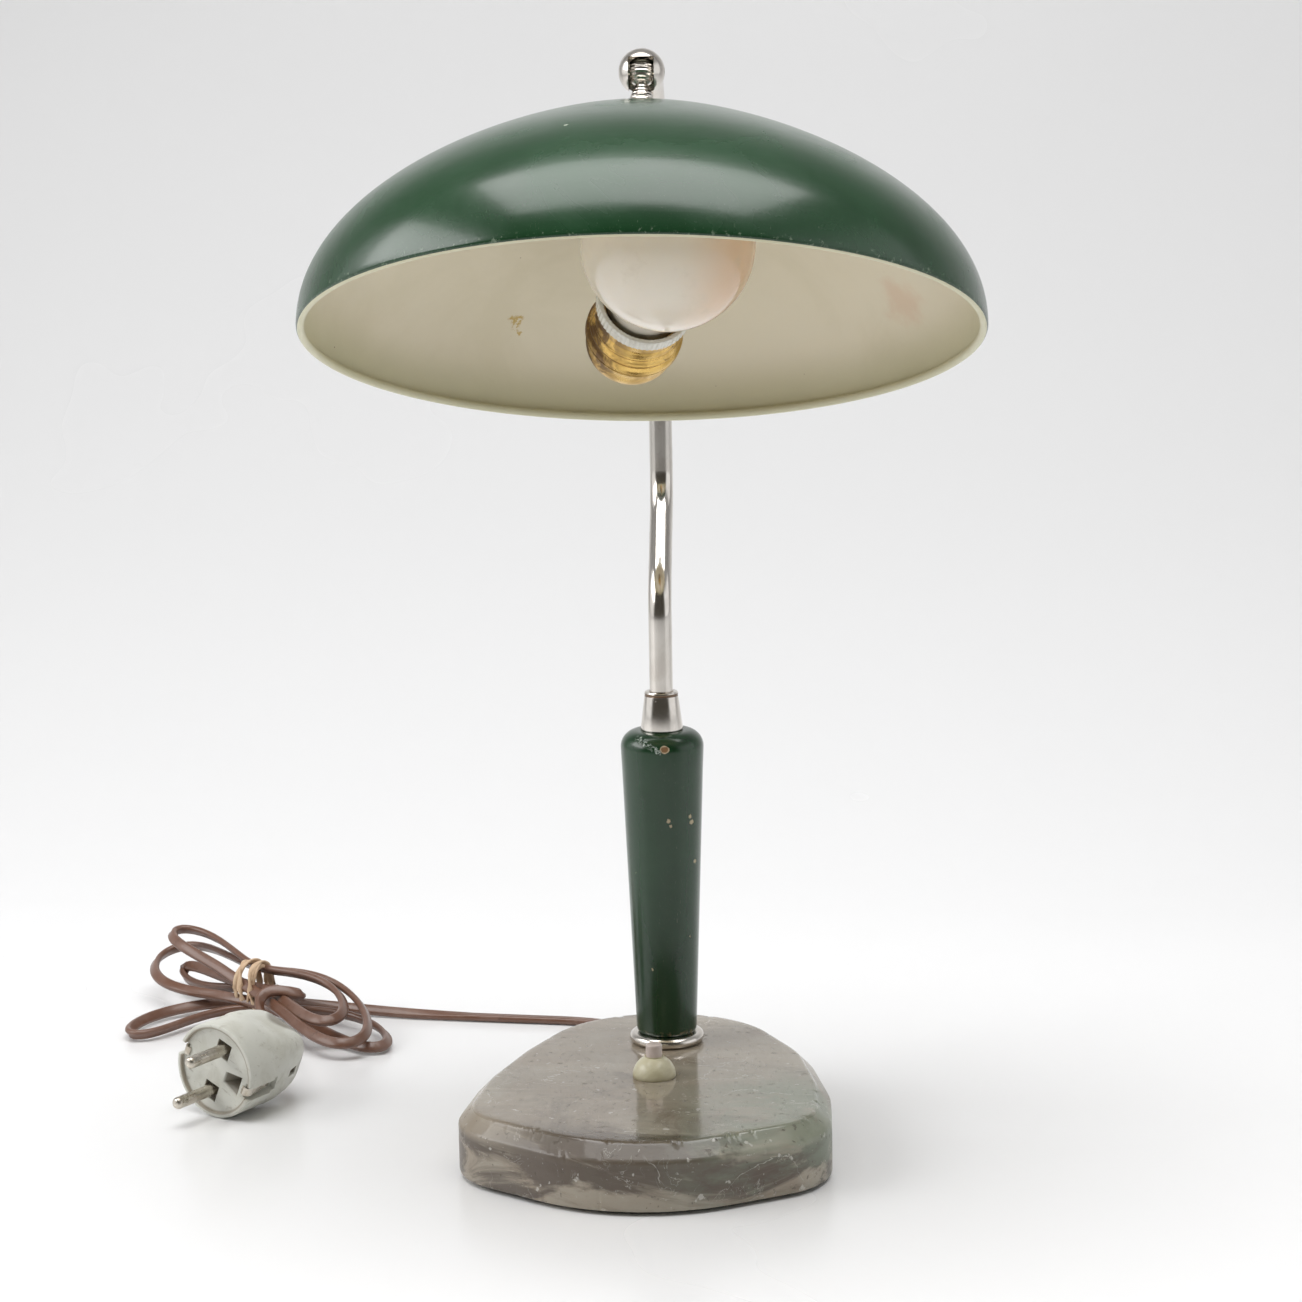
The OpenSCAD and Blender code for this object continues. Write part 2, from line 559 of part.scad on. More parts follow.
// Plug
module plug_pin(side) color("#b7b2a8") at_plug() translate([0, side * plug_pin_gap / 2, 0]) turned([
    [0, -plug_pin_in], [plug_pin_r, -plug_pin_in],
    for (a = [0:15:90]) [plug_pin_r * cos(a), plug_pin_l - plug_pin_r + plug_pin_r * sin(a)]]);
module earth_clip(side) color("#a49f95") at_plug()
    translate([side * (plug_r - 2.6) - 0.4, -2, -plug_face_l + 1]) cube([0.8, 4, plug_face_l - 1]);
module plug_body() color("#d3d2ca") at_plug() difference() {
    union() {
        translate([0, 0, -plug_face_l]) cylinder(r = plug_r, h = plug_face_l);
        translate([0, 0, -plug_l]) cylinder(r1 = plug_grip_r, r2 = plug_r, h = plug_l - plug_face_l);
    }
    for (side = [-1, 1]) {
        translate([0, side * plug_pin_gap / 2, -plug_pin_in])
            cylinder(r = plug_pin_r, h = plug_pin_in + cut);
        translate([side * plug_r - 3, -3, -plug_face_l + 1]) cube([6, 6, plug_face_l + cut]);
    }
    translate([9, 0, -12]) cylinder(r = 2.8, h = 12 + cut);
}

stone_foot();
foot_felt();
foot_ring();
wooden_stem();
threaded_rod();
rod_washer();
rod_nut();
ferrule();
arm_tube();
knuckle_ball();
knuckle_pin();
knuckle_tongue();
tail_nut();
crown_washer();
lamp_shade();
holder_strap();
holder_nipple();
holder_nut();
holder_cap();
holder_shell();
porcelain_insert();
screw_shell();
centre_contact();
porcelain_ring();
bulb_glass();
bulb_cap();
bulb_insulator();
bulb_contact();
switch_body();
switch_dome();
switch_button();
flex_in_foot();
cord_sleeve();
cord_lead();
cord_hank();
hank_tie();
cord_tail();
plug_body();
plug_pin(1);  // plug_pin_upper
plug_pin(-1);  // plug_pin_lower
earth_clip(1);  // earth_clip_near
earth_clip(-1);  // earth_clip_far
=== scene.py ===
"""Table lamp: builds the pieces seen on the lamp, its finishes, its cord and a plain studio.

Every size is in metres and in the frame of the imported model, with the origin on the table
under the stem. Each operator makes one piece or group, and the panel lists them in order.
"""

import math

import bmesh
import bpy
import numpy as np
from bpy.props import FloatProperty, FloatVectorProperty, IntProperty, PointerProperty
from mathutils import Matrix, Vector, noise


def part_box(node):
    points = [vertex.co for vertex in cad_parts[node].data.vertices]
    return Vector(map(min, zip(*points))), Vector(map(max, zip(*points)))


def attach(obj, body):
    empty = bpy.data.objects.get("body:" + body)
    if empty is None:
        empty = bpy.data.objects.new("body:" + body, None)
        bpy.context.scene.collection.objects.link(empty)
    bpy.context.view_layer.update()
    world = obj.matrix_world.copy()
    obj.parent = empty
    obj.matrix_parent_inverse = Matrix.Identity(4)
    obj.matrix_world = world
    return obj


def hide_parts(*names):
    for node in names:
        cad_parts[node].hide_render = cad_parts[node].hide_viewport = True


bl_info = {
    "name": "Table lamp",
    "version": (1, 0, 0),
    "blender": (4, 5, 0),
    "location": "View3D > Sidebar > Lamp",
    "description": "Builds a desk lamp with a tilting shade on a packed frame",
    "category": "Add Mesh",
}

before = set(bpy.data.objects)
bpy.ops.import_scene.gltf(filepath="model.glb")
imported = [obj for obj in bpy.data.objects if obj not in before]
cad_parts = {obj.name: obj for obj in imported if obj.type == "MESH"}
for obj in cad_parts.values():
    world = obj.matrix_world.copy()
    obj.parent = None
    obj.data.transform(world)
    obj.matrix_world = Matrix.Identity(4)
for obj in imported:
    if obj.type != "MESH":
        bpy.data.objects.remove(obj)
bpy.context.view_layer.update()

MM = 0.001

# ---------------------------------------------------------------------------
# Places, as in the frame
# ---------------------------------------------------------------------------
ARM_TURN = 4.0
BALL_Y = -78.0
BALL_Z = 399.586
TILT = 20.0
NECK_L = 14.8
SHADE_R = 118.0
SHADE_H = 79.4
CROWN_R = 9.0
RIM_Z = -NECK_L - SHADE_H
# Lampholder: its turn about the neck, the bulb's middle from the crown, and its lean
HOLDER_TURN = 14.0
BULB_SIDE = 6.0
BULB_FRONT = 15.0
BULB_RISE = 28.0
BULB_ANGLE = 14.0
# Bulb: its globe, the neck of the glass and where the globe meets it
BULB_R = 30.0
BULB_NECK_R = 13.2
BULB_NECK_FROM = 40.0
BULB_NECK_POWER = 2.35
BULB_MEETS = 45.0
SWITCH_FRONT = 46.0
SLEEVE_Y = 38.5
CORD_X = -6.0
CORD_Z = 4.4
PLUG_AT = (-175.0, -28.0, 19.1)
PLUG_TURN = -27.0
PLUG_ROLL = -23.0


def turn(angle, axis):
    """Rotation matrix for an angle in degrees."""
    return Matrix.Rotation(math.radians(angle), 4, axis)


def shift(x, y, z):
    """Translation matrix for millimetres."""
    return Matrix.Translation(Vector((x, y, z)) * MM)


AT_ARM = turn(ARM_TURN, "Z")
AT_BALL = AT_ARM @ shift(0, BALL_Y, BALL_Z)
AT_NECK = AT_BALL @ turn(-TILT, "X")
AT_HOLDER = AT_NECK @ turn(HOLDER_TURN, "Z")
AT_BULB = AT_HOLDER @ shift(BULB_SIDE, -BULB_FRONT, RIM_Z + BULB_RISE) @ turn(90 - BULB_ANGLE, "X")
AT_SWITCH = shift(0, -SWITCH_FRONT, 0)
AT_PLUG = shift(*PLUG_AT) @ turn(PLUG_TURN, "Z") @ turn(90, "X") @ turn(PLUG_ROLL, "Z")
AT_STEM = Matrix.Identity(4)


# ---------------------------------------------------------------------------
# Settings shown in the panel
# ---------------------------------------------------------------------------
def colour(name, default, description):
    """A colour property with linear values."""
    return FloatVectorProperty(
        name=name,
        description=description,
        default=default,
        size=3,
        min=0.0,
        max=1.0,
        subtype="COLOR",
    )


def length(name, default, description, low, high):
    """A length property in metres."""
    return FloatProperty(
        name=name,
        description=description,
        default=default,
        min=low,
        max=high,
        unit="LENGTH",
        precision=4,
    )


class LampSettings(bpy.types.PropertyGroup):
    """Sizes and colours that a user would change."""

    enamel: colour("Enamel", (0.005, 0.036, 0.010), "Green enamel of the shade and stem")
    lining: colour("Lining", (0.74, 0.675, 0.52), "Cream paint inside the shade")
    stone: colour("Stone", (0.315, 0.262, 0.198), "Main colour of the foot")
    stone_dark: colour("Stone bands", (0.075, 0.052, 0.035), "Dark bands in the foot")
    stone_green: colour("Stone patches", (0.20, 0.25, 0.18), "Green patches in the foot")
    brass: colour("Brass", (0.70, 0.47, 0.15), "Brass of the lampholder")
    chrome: colour("Chrome", (0.74, 0.70, 0.65), "Plated arm, cone, ring and knuckle")
    glass: colour("Bulb", (0.74, 0.68, 0.58), "Opal glass of the bulb")
    cord: colour("Cord", (0.150, 0.072, 0.045), "Plastic sheath of the cord")
    plug: colour("Plug", (0.62, 0.62, 0.56), "Body of the plug")
    floor: colour("Floor", (0.86, 0.86, 0.865), "Table and backdrop")
    cord_width: length("Cord width", 0.0048, "Width of the flat cord", 0.004, 0.006)
    cord_thick: length("Cord thickness", 0.0030, "Thickness of the flat cord", 0.0026, 0.0036)
    chip: length("Edge chips", 0.0006, "Deepest chip on the edges of the foot", 0.0, 0.002)
    lens: FloatProperty(
        name="Focal length",
        description="Focal length of the camera on a 36 mm sensor",
        default=87.8,
        min=20.0,
        max=300.0,
        unit="CAMERA",
    )
    sky: FloatProperty(
        name="Surroundings",
        description="Strength of the light from all round",
        default=0.98,
        min=0.0,
        max=5.0,
    )
    overhead: FloatProperty(
        name="Softbox",
        description="Power of the softbox over the lamp",
        default=20.0,
        min=0.0,
        max=200.0,
        unit="POWER",
    )
    band_wraps: IntProperty(
        name="Band wraps",
        description="How many times the rubber band goes round the hank",
        default=5,
        min=2,
        max=8,
    )


# ---------------------------------------------------------------------------
# Paint: one material and the nodes that feed its shader
# ---------------------------------------------------------------------------
class Paint:
    """A material being built up in layers of colour, roughness, metal and relief."""

    def __init__(self, name, base, rough, metal=0.0, coat=0.0, ior=1.5):
        self.material = bpy.data.materials.new(name)
        self.material.use_nodes = True
        self.tree = self.material.node_tree
        self.shader = self.tree.nodes["Principled BSDF"]
        self.shader.inputs["IOR"].default_value = ior
        self.shader.inputs["Coat Weight"].default_value = coat
        self.shader.inputs["Coat Roughness"].default_value = 0.12
        self.colour = (*base, 1.0)
        self.rough = rough
        self.metal = metal
        self.height = None
        self.place = self.node("ShaderNodeTexCoord").outputs["Object"]

    def node(self, kind):
        """Adds a node of that kind."""
        return self.tree.nodes.new(kind)

    def feed(self, socket, value):
        """Links a socket, or sets it to a constant."""
        if isinstance(value, bpy.types.NodeSocket):
            self.tree.links.new(value, socket)
        else:
            socket.default_value = value

    def stretched(self, scale, turned=(0.0, 0.0, 0.0), moved=(0.0, 0.0, 0.0)):
        """The piece's own coordinates, scaled along each axis."""
        node = self.node("ShaderNodeMapping")
        node.inputs["Scale"].default_value = scale
        node.inputs["Rotation"].default_value = [math.radians(a) for a in turned]
        node.inputs["Location"].default_value = moved
        self.feed(node.inputs["Vector"], self.place)
        return node.outputs["Vector"]

    def noise(self, scale, detail=4.0, coarse=0.55, warp=0.0, where=None):
        """Fractal noise from 0 to 1."""
        node = self.node("ShaderNodeTexNoise")
        node.inputs["Scale"].default_value = scale
        node.inputs["Detail"].default_value = detail
        node.inputs["Roughness"].default_value = coarse
        node.inputs["Distortion"].default_value = warp
        self.feed(node.inputs["Vector"], where or self.place)
        return node.outputs["Fac"]

    def cells(self, scale, where=None, warp=1.0):
        """Distance to the nearest of scattered points."""
        node = self.node("ShaderNodeTexVoronoi")
        node.inputs["Scale"].default_value = scale
        node.inputs["Randomness"].default_value = warp
        self.feed(node.inputs["Vector"], where or self.place)
        return node.outputs["Distance"]

    def math(self, kind, a, b=0.0, clamp=False):
        """One arithmetic step."""
        node = self.node("ShaderNodeMath")
        node.operation = kind
        node.use_clamp = clamp
        self.feed(node.inputs[0], a)
        self.feed(node.inputs[1], b)
        return node.outputs[0]

    def mask(self, value, low, high, top=1.0):
        """Rises smoothly from 0 at low to top at high; low may be above high."""
        node = self.node("ShaderNodeMapRange")
        node.interpolation_type = "SMOOTHSTEP"
        if low < high:
            ends = (low, high, 0.0, top)
        else:
            ends = (high, low, top, 0.0)
        for socket, end in zip(list(node.inputs)[1:5], ends):
            socket.default_value = end
        self.feed(node.inputs[0], value)
        return node.outputs[0]

    def axis(self, letter, where=None):
        """One coordinate of the piece."""
        node = self.node("ShaderNodeSeparateXYZ")
        self.feed(node.inputs[0], where or self.place)
        return node.outputs["XYZ".index(letter)]

    def span(self, letter, low, high, top=1.0):
        """A mask along one axis, between two places in millimetres."""
        return self.mask(self.axis(letter), low * MM, high * MM, top)

    def spot(self, centre, radius, ragged=0.4, soft=0.35, scale=(1, 1, 1)):
        """A ragged patch round a place in millimetres."""
        where = self.stretched(scale)
        away = self.node("ShaderNodeVectorMath")
        away.operation = "DISTANCE"
        self.feed(away.inputs[0], where)
        away.inputs[1].default_value = [c * MM * s for c, s in zip(centre, scale)]
        size = radius * MM
        wobble = self.noise(0.9 / size, 3.0, 0.6)
        wobble = self.math("MULTIPLY", self.math("SUBTRACT", wobble, 0.5), ragged * 4 * size)
        reach = self.math("ADD", away.outputs["Value"], wobble)
        return self.mask(reach, size * (1 + soft), size * (1 - soft))

    def both(self, a, b):
        """Two masks together."""
        return self.math("MULTIPLY", a, b)

    def either(self, *masks):
        """The strongest of several masks."""
        result = masks[0]
        for other in masks[1:]:
            result = self.math("MAXIMUM", result, other)
        return result

    def mix(self, amount, a, b):
        """A colour between a and b."""
        node = self.node("ShaderNodeMix")
        node.data_type = "RGBA"
        self.feed(node.inputs[0], amount)
        self.feed(node.inputs[6], a)
        self.feed(node.inputs[7], b)
        return node.outputs[2]

    def tint(self, amount, shade):
        """Lays a colour over what is there."""
        self.colour = self.mix(amount, self.colour, (*shade, 1.0))
        return self

    def blendv(self, amount, a, b):
        """A value between a and b."""
        node = self.node("ShaderNodeMix")
        node.data_type = "FLOAT"
        self.feed(node.inputs[0], amount)
        self.feed(node.inputs[2], a)
        self.feed(node.inputs[3], b)
        return node.outputs[0]

    def roughen(self, amount, value):
        """Changes the roughness where the mask is."""
        self.rough = self.blendv(amount, self.rough, value)
        return self

    def dull(self, amount, value=0.0):
        """Takes the metal away where the mask is."""
        self.metal = self.blendv(amount, self.metal, value)
        return self

    def raise_by(self, value, amount):
        """Adds relief, in metres for a mask of 1."""
        step = self.math("MULTIPLY", value, amount)
        self.height = step if self.height is None else self.math("ADD", self.height, step)
        return self

    def worn(self, grain=600.0, deep=0.00002, spread=0.12, mottle=60.0, shade=None, much=0.35):
        """Fine relief, uneven roughness and a mottled tint."""
        fine = self.noise(grain, 3.0, 0.6)
        broad = self.noise(mottle, 5.0, 0.6, 0.4)
        self.raise_by(fine, deep)
        self.roughen(self.mask(broad, 0.35, 0.7), min(1.0, float_of(self.rough) + spread))
        if shade is not None:
            self.tint(self.mask(broad, 0.42, 0.68, much), shade)
        return self

    def done(self):
        """Feeds the shader and gives the material."""
        self.feed(self.shader.inputs["Base Color"], self.colour)
        self.feed(self.shader.inputs["Roughness"], self.rough)
        self.feed(self.shader.inputs["Metallic"], self.metal)
        if self.height is not None:
            bump = self.node("ShaderNodeBump")
            bump.inputs["Strength"].default_value = 1.0
            bump.inputs["Distance"].default_value = 1.0
            self.feed(bump.inputs["Height"], self.height)
            self.feed(self.shader.inputs["Normal"], bump.outputs["Normal"])
        return self.material


def float_of(value):
    """A constant for a value that may already be a socket."""
    return value if isinstance(value, float) else 0.4


# ---------------------------------------------------------------------------
# Shapes
# ---------------------------------------------------------------------------
def piece(name, mesh, place, body, materials, nodes=(), angle=35.0):
    """Puts a mesh in the scene as a piece that rides on a body."""
    obj = bpy.data.objects.new(name, mesh)
    bpy.context.scene.collection.objects.link(obj)
    obj.matrix_world = place
    for material in materials:
        mesh.materials.append(material)
    mesh.polygons.foreach_set("use_smooth", [True] * len(mesh.polygons))
    mesh.set_sharp_from_angle(angle=math.radians(angle))
    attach(obj, body)
    if nodes:
        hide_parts(*nodes)
    return obj


def mesh_of(name, rings, closed=True, caps=(True, True), part=None):
    """Skins rings of points into a mesh; part gives each band its material number."""
    build = bmesh.new()
    rows = [[build.verts.new(p) for p in ring] for ring in rings]
    for row, (a, b) in enumerate(zip(rows, rows[1:])):
        count = max(len(a), len(b))
        for k in range(count if closed else count - 1):
            m = (k + 1) % count
            corners = [a[k % len(a)], a[m % len(a)], b[m % len(b)], b[k % len(b)]]
            corners = list(dict.fromkeys(corners))
            if len(corners) > 2:
                face = build.faces.new(corners)
                face.material_index = part(row) if part else 0
    if caps[0] and len(rows[0]) > 2:
        build.faces.new(list(reversed(rows[0])))
    if caps[1] and len(rows[-1]) > 2:
        build.faces.new(rows[-1])
    bmesh.ops.recalc_face_normals(build, faces=build.faces)
    mesh = bpy.data.meshes.new(name)
    build.to_mesh(mesh)
    build.free()
    return mesh


def lathe(name, profile, steps=128, part=None, closed=False, wobble=None):
    """Turns a profile of radius and height in millimetres round Z."""
    points = list(profile) + ([profile[0]] if closed else [])
    rings = []
    for r, z in points:
        if r < 0.005:
            rings.append([Vector((0, 0, z)) * MM])
            continue
        ring = []
        for k in range(steps):
            a = 2 * math.pi * k / steps
            grow = 1.0 + (wobble(a, z) if wobble else 0.0)
            ring.append(Vector((r * grow * math.cos(a), r * grow * math.sin(a), z)) * MM)
        rings.append(ring)
    mesh = mesh_of(name, rings, caps=(False, False), part=part)
    if closed:
        build = bmesh.new()
        build.from_mesh(mesh)
        bmesh.ops.remove_doubles(build, verts=build.verts, dist=1e-7)
        bmesh.ops.recalc_face_normals(build, faces=build.faces)
        build.to_mesh(mesh)
        build.free()
    return mesh


def arc(centre_r, centre_z, radius, start, end, steps=8):
    """Profile points along an arc, with angles in degrees from +r."""
    points = []
    for k in range(steps + 1):
        a = math.radians(start + (end - start) * k / steps)
        points.append((centre_r + radius * math.cos(a), centre_z + radius * math.sin(a)))
    return points


def smooth_line(stations, step, loose=0.5):
    """Even points along a curve through the stations, in the stations' unit."""
    stations = [np.array(s, float) for s in stations]
    first = 2 * stations[0] - stations[1]
    last = 2 * stations[-1] - stations[-2]
    line = [first, *stations, last]
    dense = []
    for a, b, c, d in zip(line, line[1:], line[2:], line[3:]):
        ta = np.linalg.norm(b - a) ** loose
        tb = ta + np.linalg.norm(c - b) ** loose
        tc = tb + np.linalg.norm(d - c) ** loose
        for t in np.linspace(ta, tb, 24, endpoint=False):
            ab = (ta - t) / ta * a + t / ta * b
            bc = (tb - t) / (tb - ta) * b + (t - ta) / (tb - ta) * c
            cd = (tc - t) / (tc - tb) * c + (t - tb) / (tc - tb) * d
            low = (tb - t) / tb * ab + t / tb * bc
            high = (tc - t) / (tc - ta) * bc + (t - ta) / (tc - ta) * cd
            dense.append((tb - t) / (tb - ta) * low + (t - ta) / (tb - ta) * high)
    dense.append(stations[-1])
    return even(np.array(dense), step)


def even(line, step):
    """The same line with points one step apart."""
    gaps = np.linalg.norm(np.diff(line, axis=0), axis=1)
    along = np.concatenate([[0.0], np.cumsum(gaps)])
    count = max(2, int(round(along[-1] / step)) + 1)
    want = np.linspace(0.0, along[-1], count)
    return np.stack([np.interp(want, along, line[:, i]) for i in range(3)], axis=1)


def tangents(line):
    """Unit directions along a line of points."""
    way = np.gradient(line, axis=0)
    return way / np.linalg.norm(way, axis=1)[:, None]


def sweep(name, line, outline, wide, ends=True):
    """Carries an outline along a line in metres; wide is the outline's x axis at each point."""
    rings = []
    for p, t, w in zip(line, tangents(line), wide):
        across = w - t * float(np.dot(w, t))
        across = across / np.linalg.norm(across)
        up = np.cross(t, across)
        rings.append([Vector(p + across * x + up * y) for x, y in outline])
    return mesh_of(name, rings, caps=(ends, ends))


def round_outline(radius, sides=24):
    """A circle as an outline in metres."""
    turns = [2 * math.pi * k / sides for k in range(sides)]
    return [(radius * math.cos(a), radius * math.sin(a)) for a in turns]


def level(line):
    """An axis for each point that is level and square to the line."""
    across = np.cross(tangents(line), np.array([0.0, 0.0, 1.0]))
    size = np.linalg.norm(across, axis=1)[:, None]
    return np.where(size > 1e-6, across / np.maximum(size, 1e-6), np.array([1.0, 0.0, 0.0]))


def block(build, size, place):
    """Adds a box of that size in millimetres to a mesh being built."""
    x, y, z = (s * MM / 2 for s in size)
    corners = [(-x, -y), (x, -y), (x, y), (-x, y)]
    low = [build.verts.new(place @ Vector((a, b, -z))) for a, b in corners]
    high = [build.verts.new(place @ Vector((a, b, z))) for a, b in corners]
    build.faces.new(list(reversed(low)))
    build.faces.new(high)
    for k in range(4):
        m = (k + 1) % 4
        build.faces.new((low[k], low[m], high[m], high[k]))


def carve(obj, cutters, soften=0.0):
    """Cuts meshes out of a piece for good, and rounds the edges."""
    made = []
    for number, mesh in enumerate(cutters):
        tool = bpy.data.objects.new(f"{obj.name}_cut{number}", mesh)
        bpy.context.scene.collection.objects.link(tool)
        tool.matrix_world = obj.matrix_world
        step = obj.modifiers.new("cut", "BOOLEAN")
        step.operation = "DIFFERENCE"
        step.solver = "EXACT"
        step.object = tool
        made.append(tool)
    if soften:
        edge = obj.modifiers.new("soften", "BEVEL")
        edge.width = soften
        edge.segments = 2
        edge.limit_method = "ANGLE"
        edge.angle_limit = math.radians(40)
    bpy.context.view_layer.update()
    graph = bpy.context.evaluated_depsgraph_get()
    result = bpy.data.meshes.new_from_object(obj.evaluated_get(graph))
    obj.modifiers.clear()
    old = obj.data
    obj.data = result
    bpy.data.meshes.remove(old)
    for tool in made:
        mesh = tool.data
        bpy.data.objects.remove(tool)
        bpy.data.meshes.remove(mesh)
    result.polygons.foreach_set("use_smooth", [True] * len(result.polygons))
    result.set_sharp_from_angle(angle=math.radians(35))
    return obj


# ---------------------------------------------------------------------------
# Finishes shared by several pieces
# ---------------------------------------------------------------------------
def enamel(look, name):
    """Glossy green stove enamel with fine dust in it."""
    paint = Paint(name, look.enamel, 0.23, coat=0.2)
    dust = paint.noise(2600.0, 2.0, 0.5)
    broad = paint.noise(22.0, 5.0, 0.6, 0.6)
    paint.tint(paint.mask(broad, 0.35, 0.7, 0.6), (0.010, 0.056, 0.018))
    paint.tint(paint.mask(dust, 0.66, 0.78, 0.18), (0.22, 0.28, 0.20))
    paint.roughen(paint.mask(broad, 0.4, 0.65), 0.29)
    paint.raise_by(paint.noise(900.0, 3.0, 0.6), 0.000018)
    paint.raise_by(paint.noise(120.0, 2.0, 0.5), 0.00003)
    hair = paint.noise(30.0, 2.0, 0.5, 3.0, paint.stretched((60.0, 60.0, 3.0), (40, 0, 20)))
    paint.tint(paint.mask(hair, 0.735, 0.75, 0.35), (0.25, 0.30, 0.22))
    return paint


def chrome(look, name, rough=0.13, rust=0.5, streak=(1, 1, 0.15)):
    """Plating with hair scratches and tiny rust spots."""
    paint = Paint(name, look.chrome, rough, metal=1.0, ior=1.5)
    paint.worn(700.0, 0.000006, 0.10, 90.0, (0.60, 0.55, 0.49), 0.5)
    line = paint.noise(900.0, 2.0, 0.5, 0.0, paint.stretched(streak))
    paint.raise_by(line, 0.000010)
    pits = paint.mask(paint.cells(420.0), 0.13, 0.06)
    some = paint.mask(paint.noise(150.0, 2.0), 0.50, 0.62)
    spots = paint.math("MULTIPLY", paint.both(pits, some), rust)
    paint.tint(spots, (0.10, 0.045, 0.02))
    paint.dull(spots)
    paint.roughen(spots, 0.75)
    return paint


def plain(name, base, rough, metal=0.0, coat=0.0, shade=None, grain=900.0, deep=0.00002):
    """A plain material with grain and wear."""
    paint = Paint(name, base, rough, metal, coat)
    paint.worn(grain, deep, 0.14, 120.0, shade or tuple(c * 0.55 for c in base), 0.6)
    return paint


def paint_nodes(material, names):
    """Gives CAD nodes that stay in view their finish."""
    for name in names:
        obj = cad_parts[name]
        obj.data.materials.clear()
        obj.data.materials.append(material)


class LampOperator:
    """What the operators share."""

    bl_options = {"REGISTER", "UNDO"}

    def execute(self, context):
        self.make(context.scene.lamp)
        return {"FINISHED"}


# ---------------------------------------------------------------------------
# Camera
# ---------------------------------------------------------------------------
class LAMP_OT_camera(LampOperator, bpy.types.Operator):
    """Adds the camera in front of the lamp, a little above it and to its right"""

    bl_idname = "lamp.camera"
    bl_label = "Camera"

    def make(self, look):
        data = bpy.data.cameras.new("camera")
        data.lens = look.lens
        data.sensor_width = 36.0
        data.clip_start = 0.05
        camera = bpy.data.objects.new("camera", data)
        bpy.context.scene.collection.objects.link(camera)
        stand = Matrix.Translation(Vector((0.1322, -1.1927, 0.3949)))
        camera.matrix_world = stand @ turn(6.5, "Z") @ turn(90 - 10.1, "X") @ turn(-1.0, "Z")
        bpy.context.scene.camera = camera


# ---------------------------------------------------------------------------
# Cord
# ---------------------------------------------------------------------------
EXIT = (CORD_X, 62.5, CORD_Z)
LEAD = [EXIT, (-6, 68, 4.2), (-7, 76, 2.6), (-12, 86, 1.9), (-24, 95, 1.7), (-46, 103, 1.7),
    (-75, 106, 1.7), (-106, 108, 1.7), (-128, 110, 1.9), (-146, 113, 2.8), (-168, 115, 4.5)]
TIE = (-191.0, 109.0, 13.0)
TIE_ALONG = (0.87, -0.49, 0.0)
TIE_SIDE = (0.49, 0.87, 0.0)
LOOPS = [
    [(-213, 118, 4), (-227, 112, 3), (-238, 98, 3), (-243, 80, 3), (-243, 66, 3),
        (-237, 57, 3), (-229, 62, 3), (-222, 78, 3), (-215, 96, 4), (-205, 108, 5)],
    [(-172, 98, 6), (-158, 99, 7), (-144, 98, 6), (-131, 88, 4), (-122, 72, 3),
        (-118, 58, 3), (-121, 47, 3), (-130, 48, 3), (-141, 60, 3), (-155, 76, 4), (-172, 94, 6)],
    [(-207, 112, 9), (-218, 107, 10), (-231, 109, 11), (-241, 119, 12), (-248, 135, 13),
        (-250, 149, 15), (-245, 160, 18), (-235, 163, 20), (-224, 156, 20), (-210, 136, 20)],
    [(-178, 110, 20), (-167, 112, 21), (-155, 108, 19), (-144, 96, 16), (-135, 81, 12),
        (-129, 65, 9), (-127, 50, 7), (-133, 39, 6), (-144, 41, 6), (-157, 56, 8), (-172, 80, 11)],
    [(-207, 117, 20), (-219, 120, 24), (-231, 125, 27), (-241, 134, 29), (-244, 146, 30),
        (-238, 155, 30), (-227, 152, 29), (-214, 141, 27), (-203, 125, 24)],
    [(-174, 103, 23), (-162, 106, 21), (-151, 99, 18), (-144, 87, 15), (-140, 71, 13),
        (-141, 56, 12), (-148, 50, 12), (-157, 59, 12), (-167, 76, 14), (-177, 94, 15)],
    [(-206, 117, 14), (-219, 131, 15), (-232, 148, 14), (-239, 157, 12), (-240, 151, 8),
        (-233, 138, 6), (-220, 126, 6), (-207, 119, 9)],
]
SLOTS = [(3.6, -6.2), (0.0, -6.2), (-3.7, -6.0), (3.8, 5.6), (-3.7, 0.2), (0.1, 6.2),
    (0.0, 0.2), (3.8, -0.4)]
TAIL = [(-175, 100, 15), (-166, 99, 15), (-159, 97, 14), (-156, 92, 13), (-160, 87, 13),
    (-169, 88, 15), (-179, 92, 20), (-187, 94, 22), (-192, 91, 18), (-191, 87, 11),
    (-184, 80, 7), (-175, 68, 7), (-168, 54, 9.5), (-162, 40, 13.5), (-156.5, 26, 17.4),
    (-154.6, 14.5, 18.9), (-157.75, 5.9, 19.1)]


def through_tie(slot, way):
    """Two stations where a pass of the cord goes through the tie."""
    centre = np.array(TIE) + slot[0] * np.array(TIE_SIDE) + np.array([0, 0, slot[1]])
    half = 5.0 * way * np.array(TIE_ALONG)
    return [tuple(centre - half), tuple(centre + half)]


def cord_stations():
    """The whole route of the cord in millimetres, from the sleeve to the plug."""
    route = list(LEAD)
    way = -1.0
    for slot, loop in zip(SLOTS, LOOPS):
        route += through_tie(slot, way) + loop
        way = -way
    route += through_tie(SLOTS[len(LOOPS)], way)
    return route + TAIL


# How many points at each end of the cord stay where they are
HELD_AT_FOOT = 26
HELD_AT_PLUG = 9


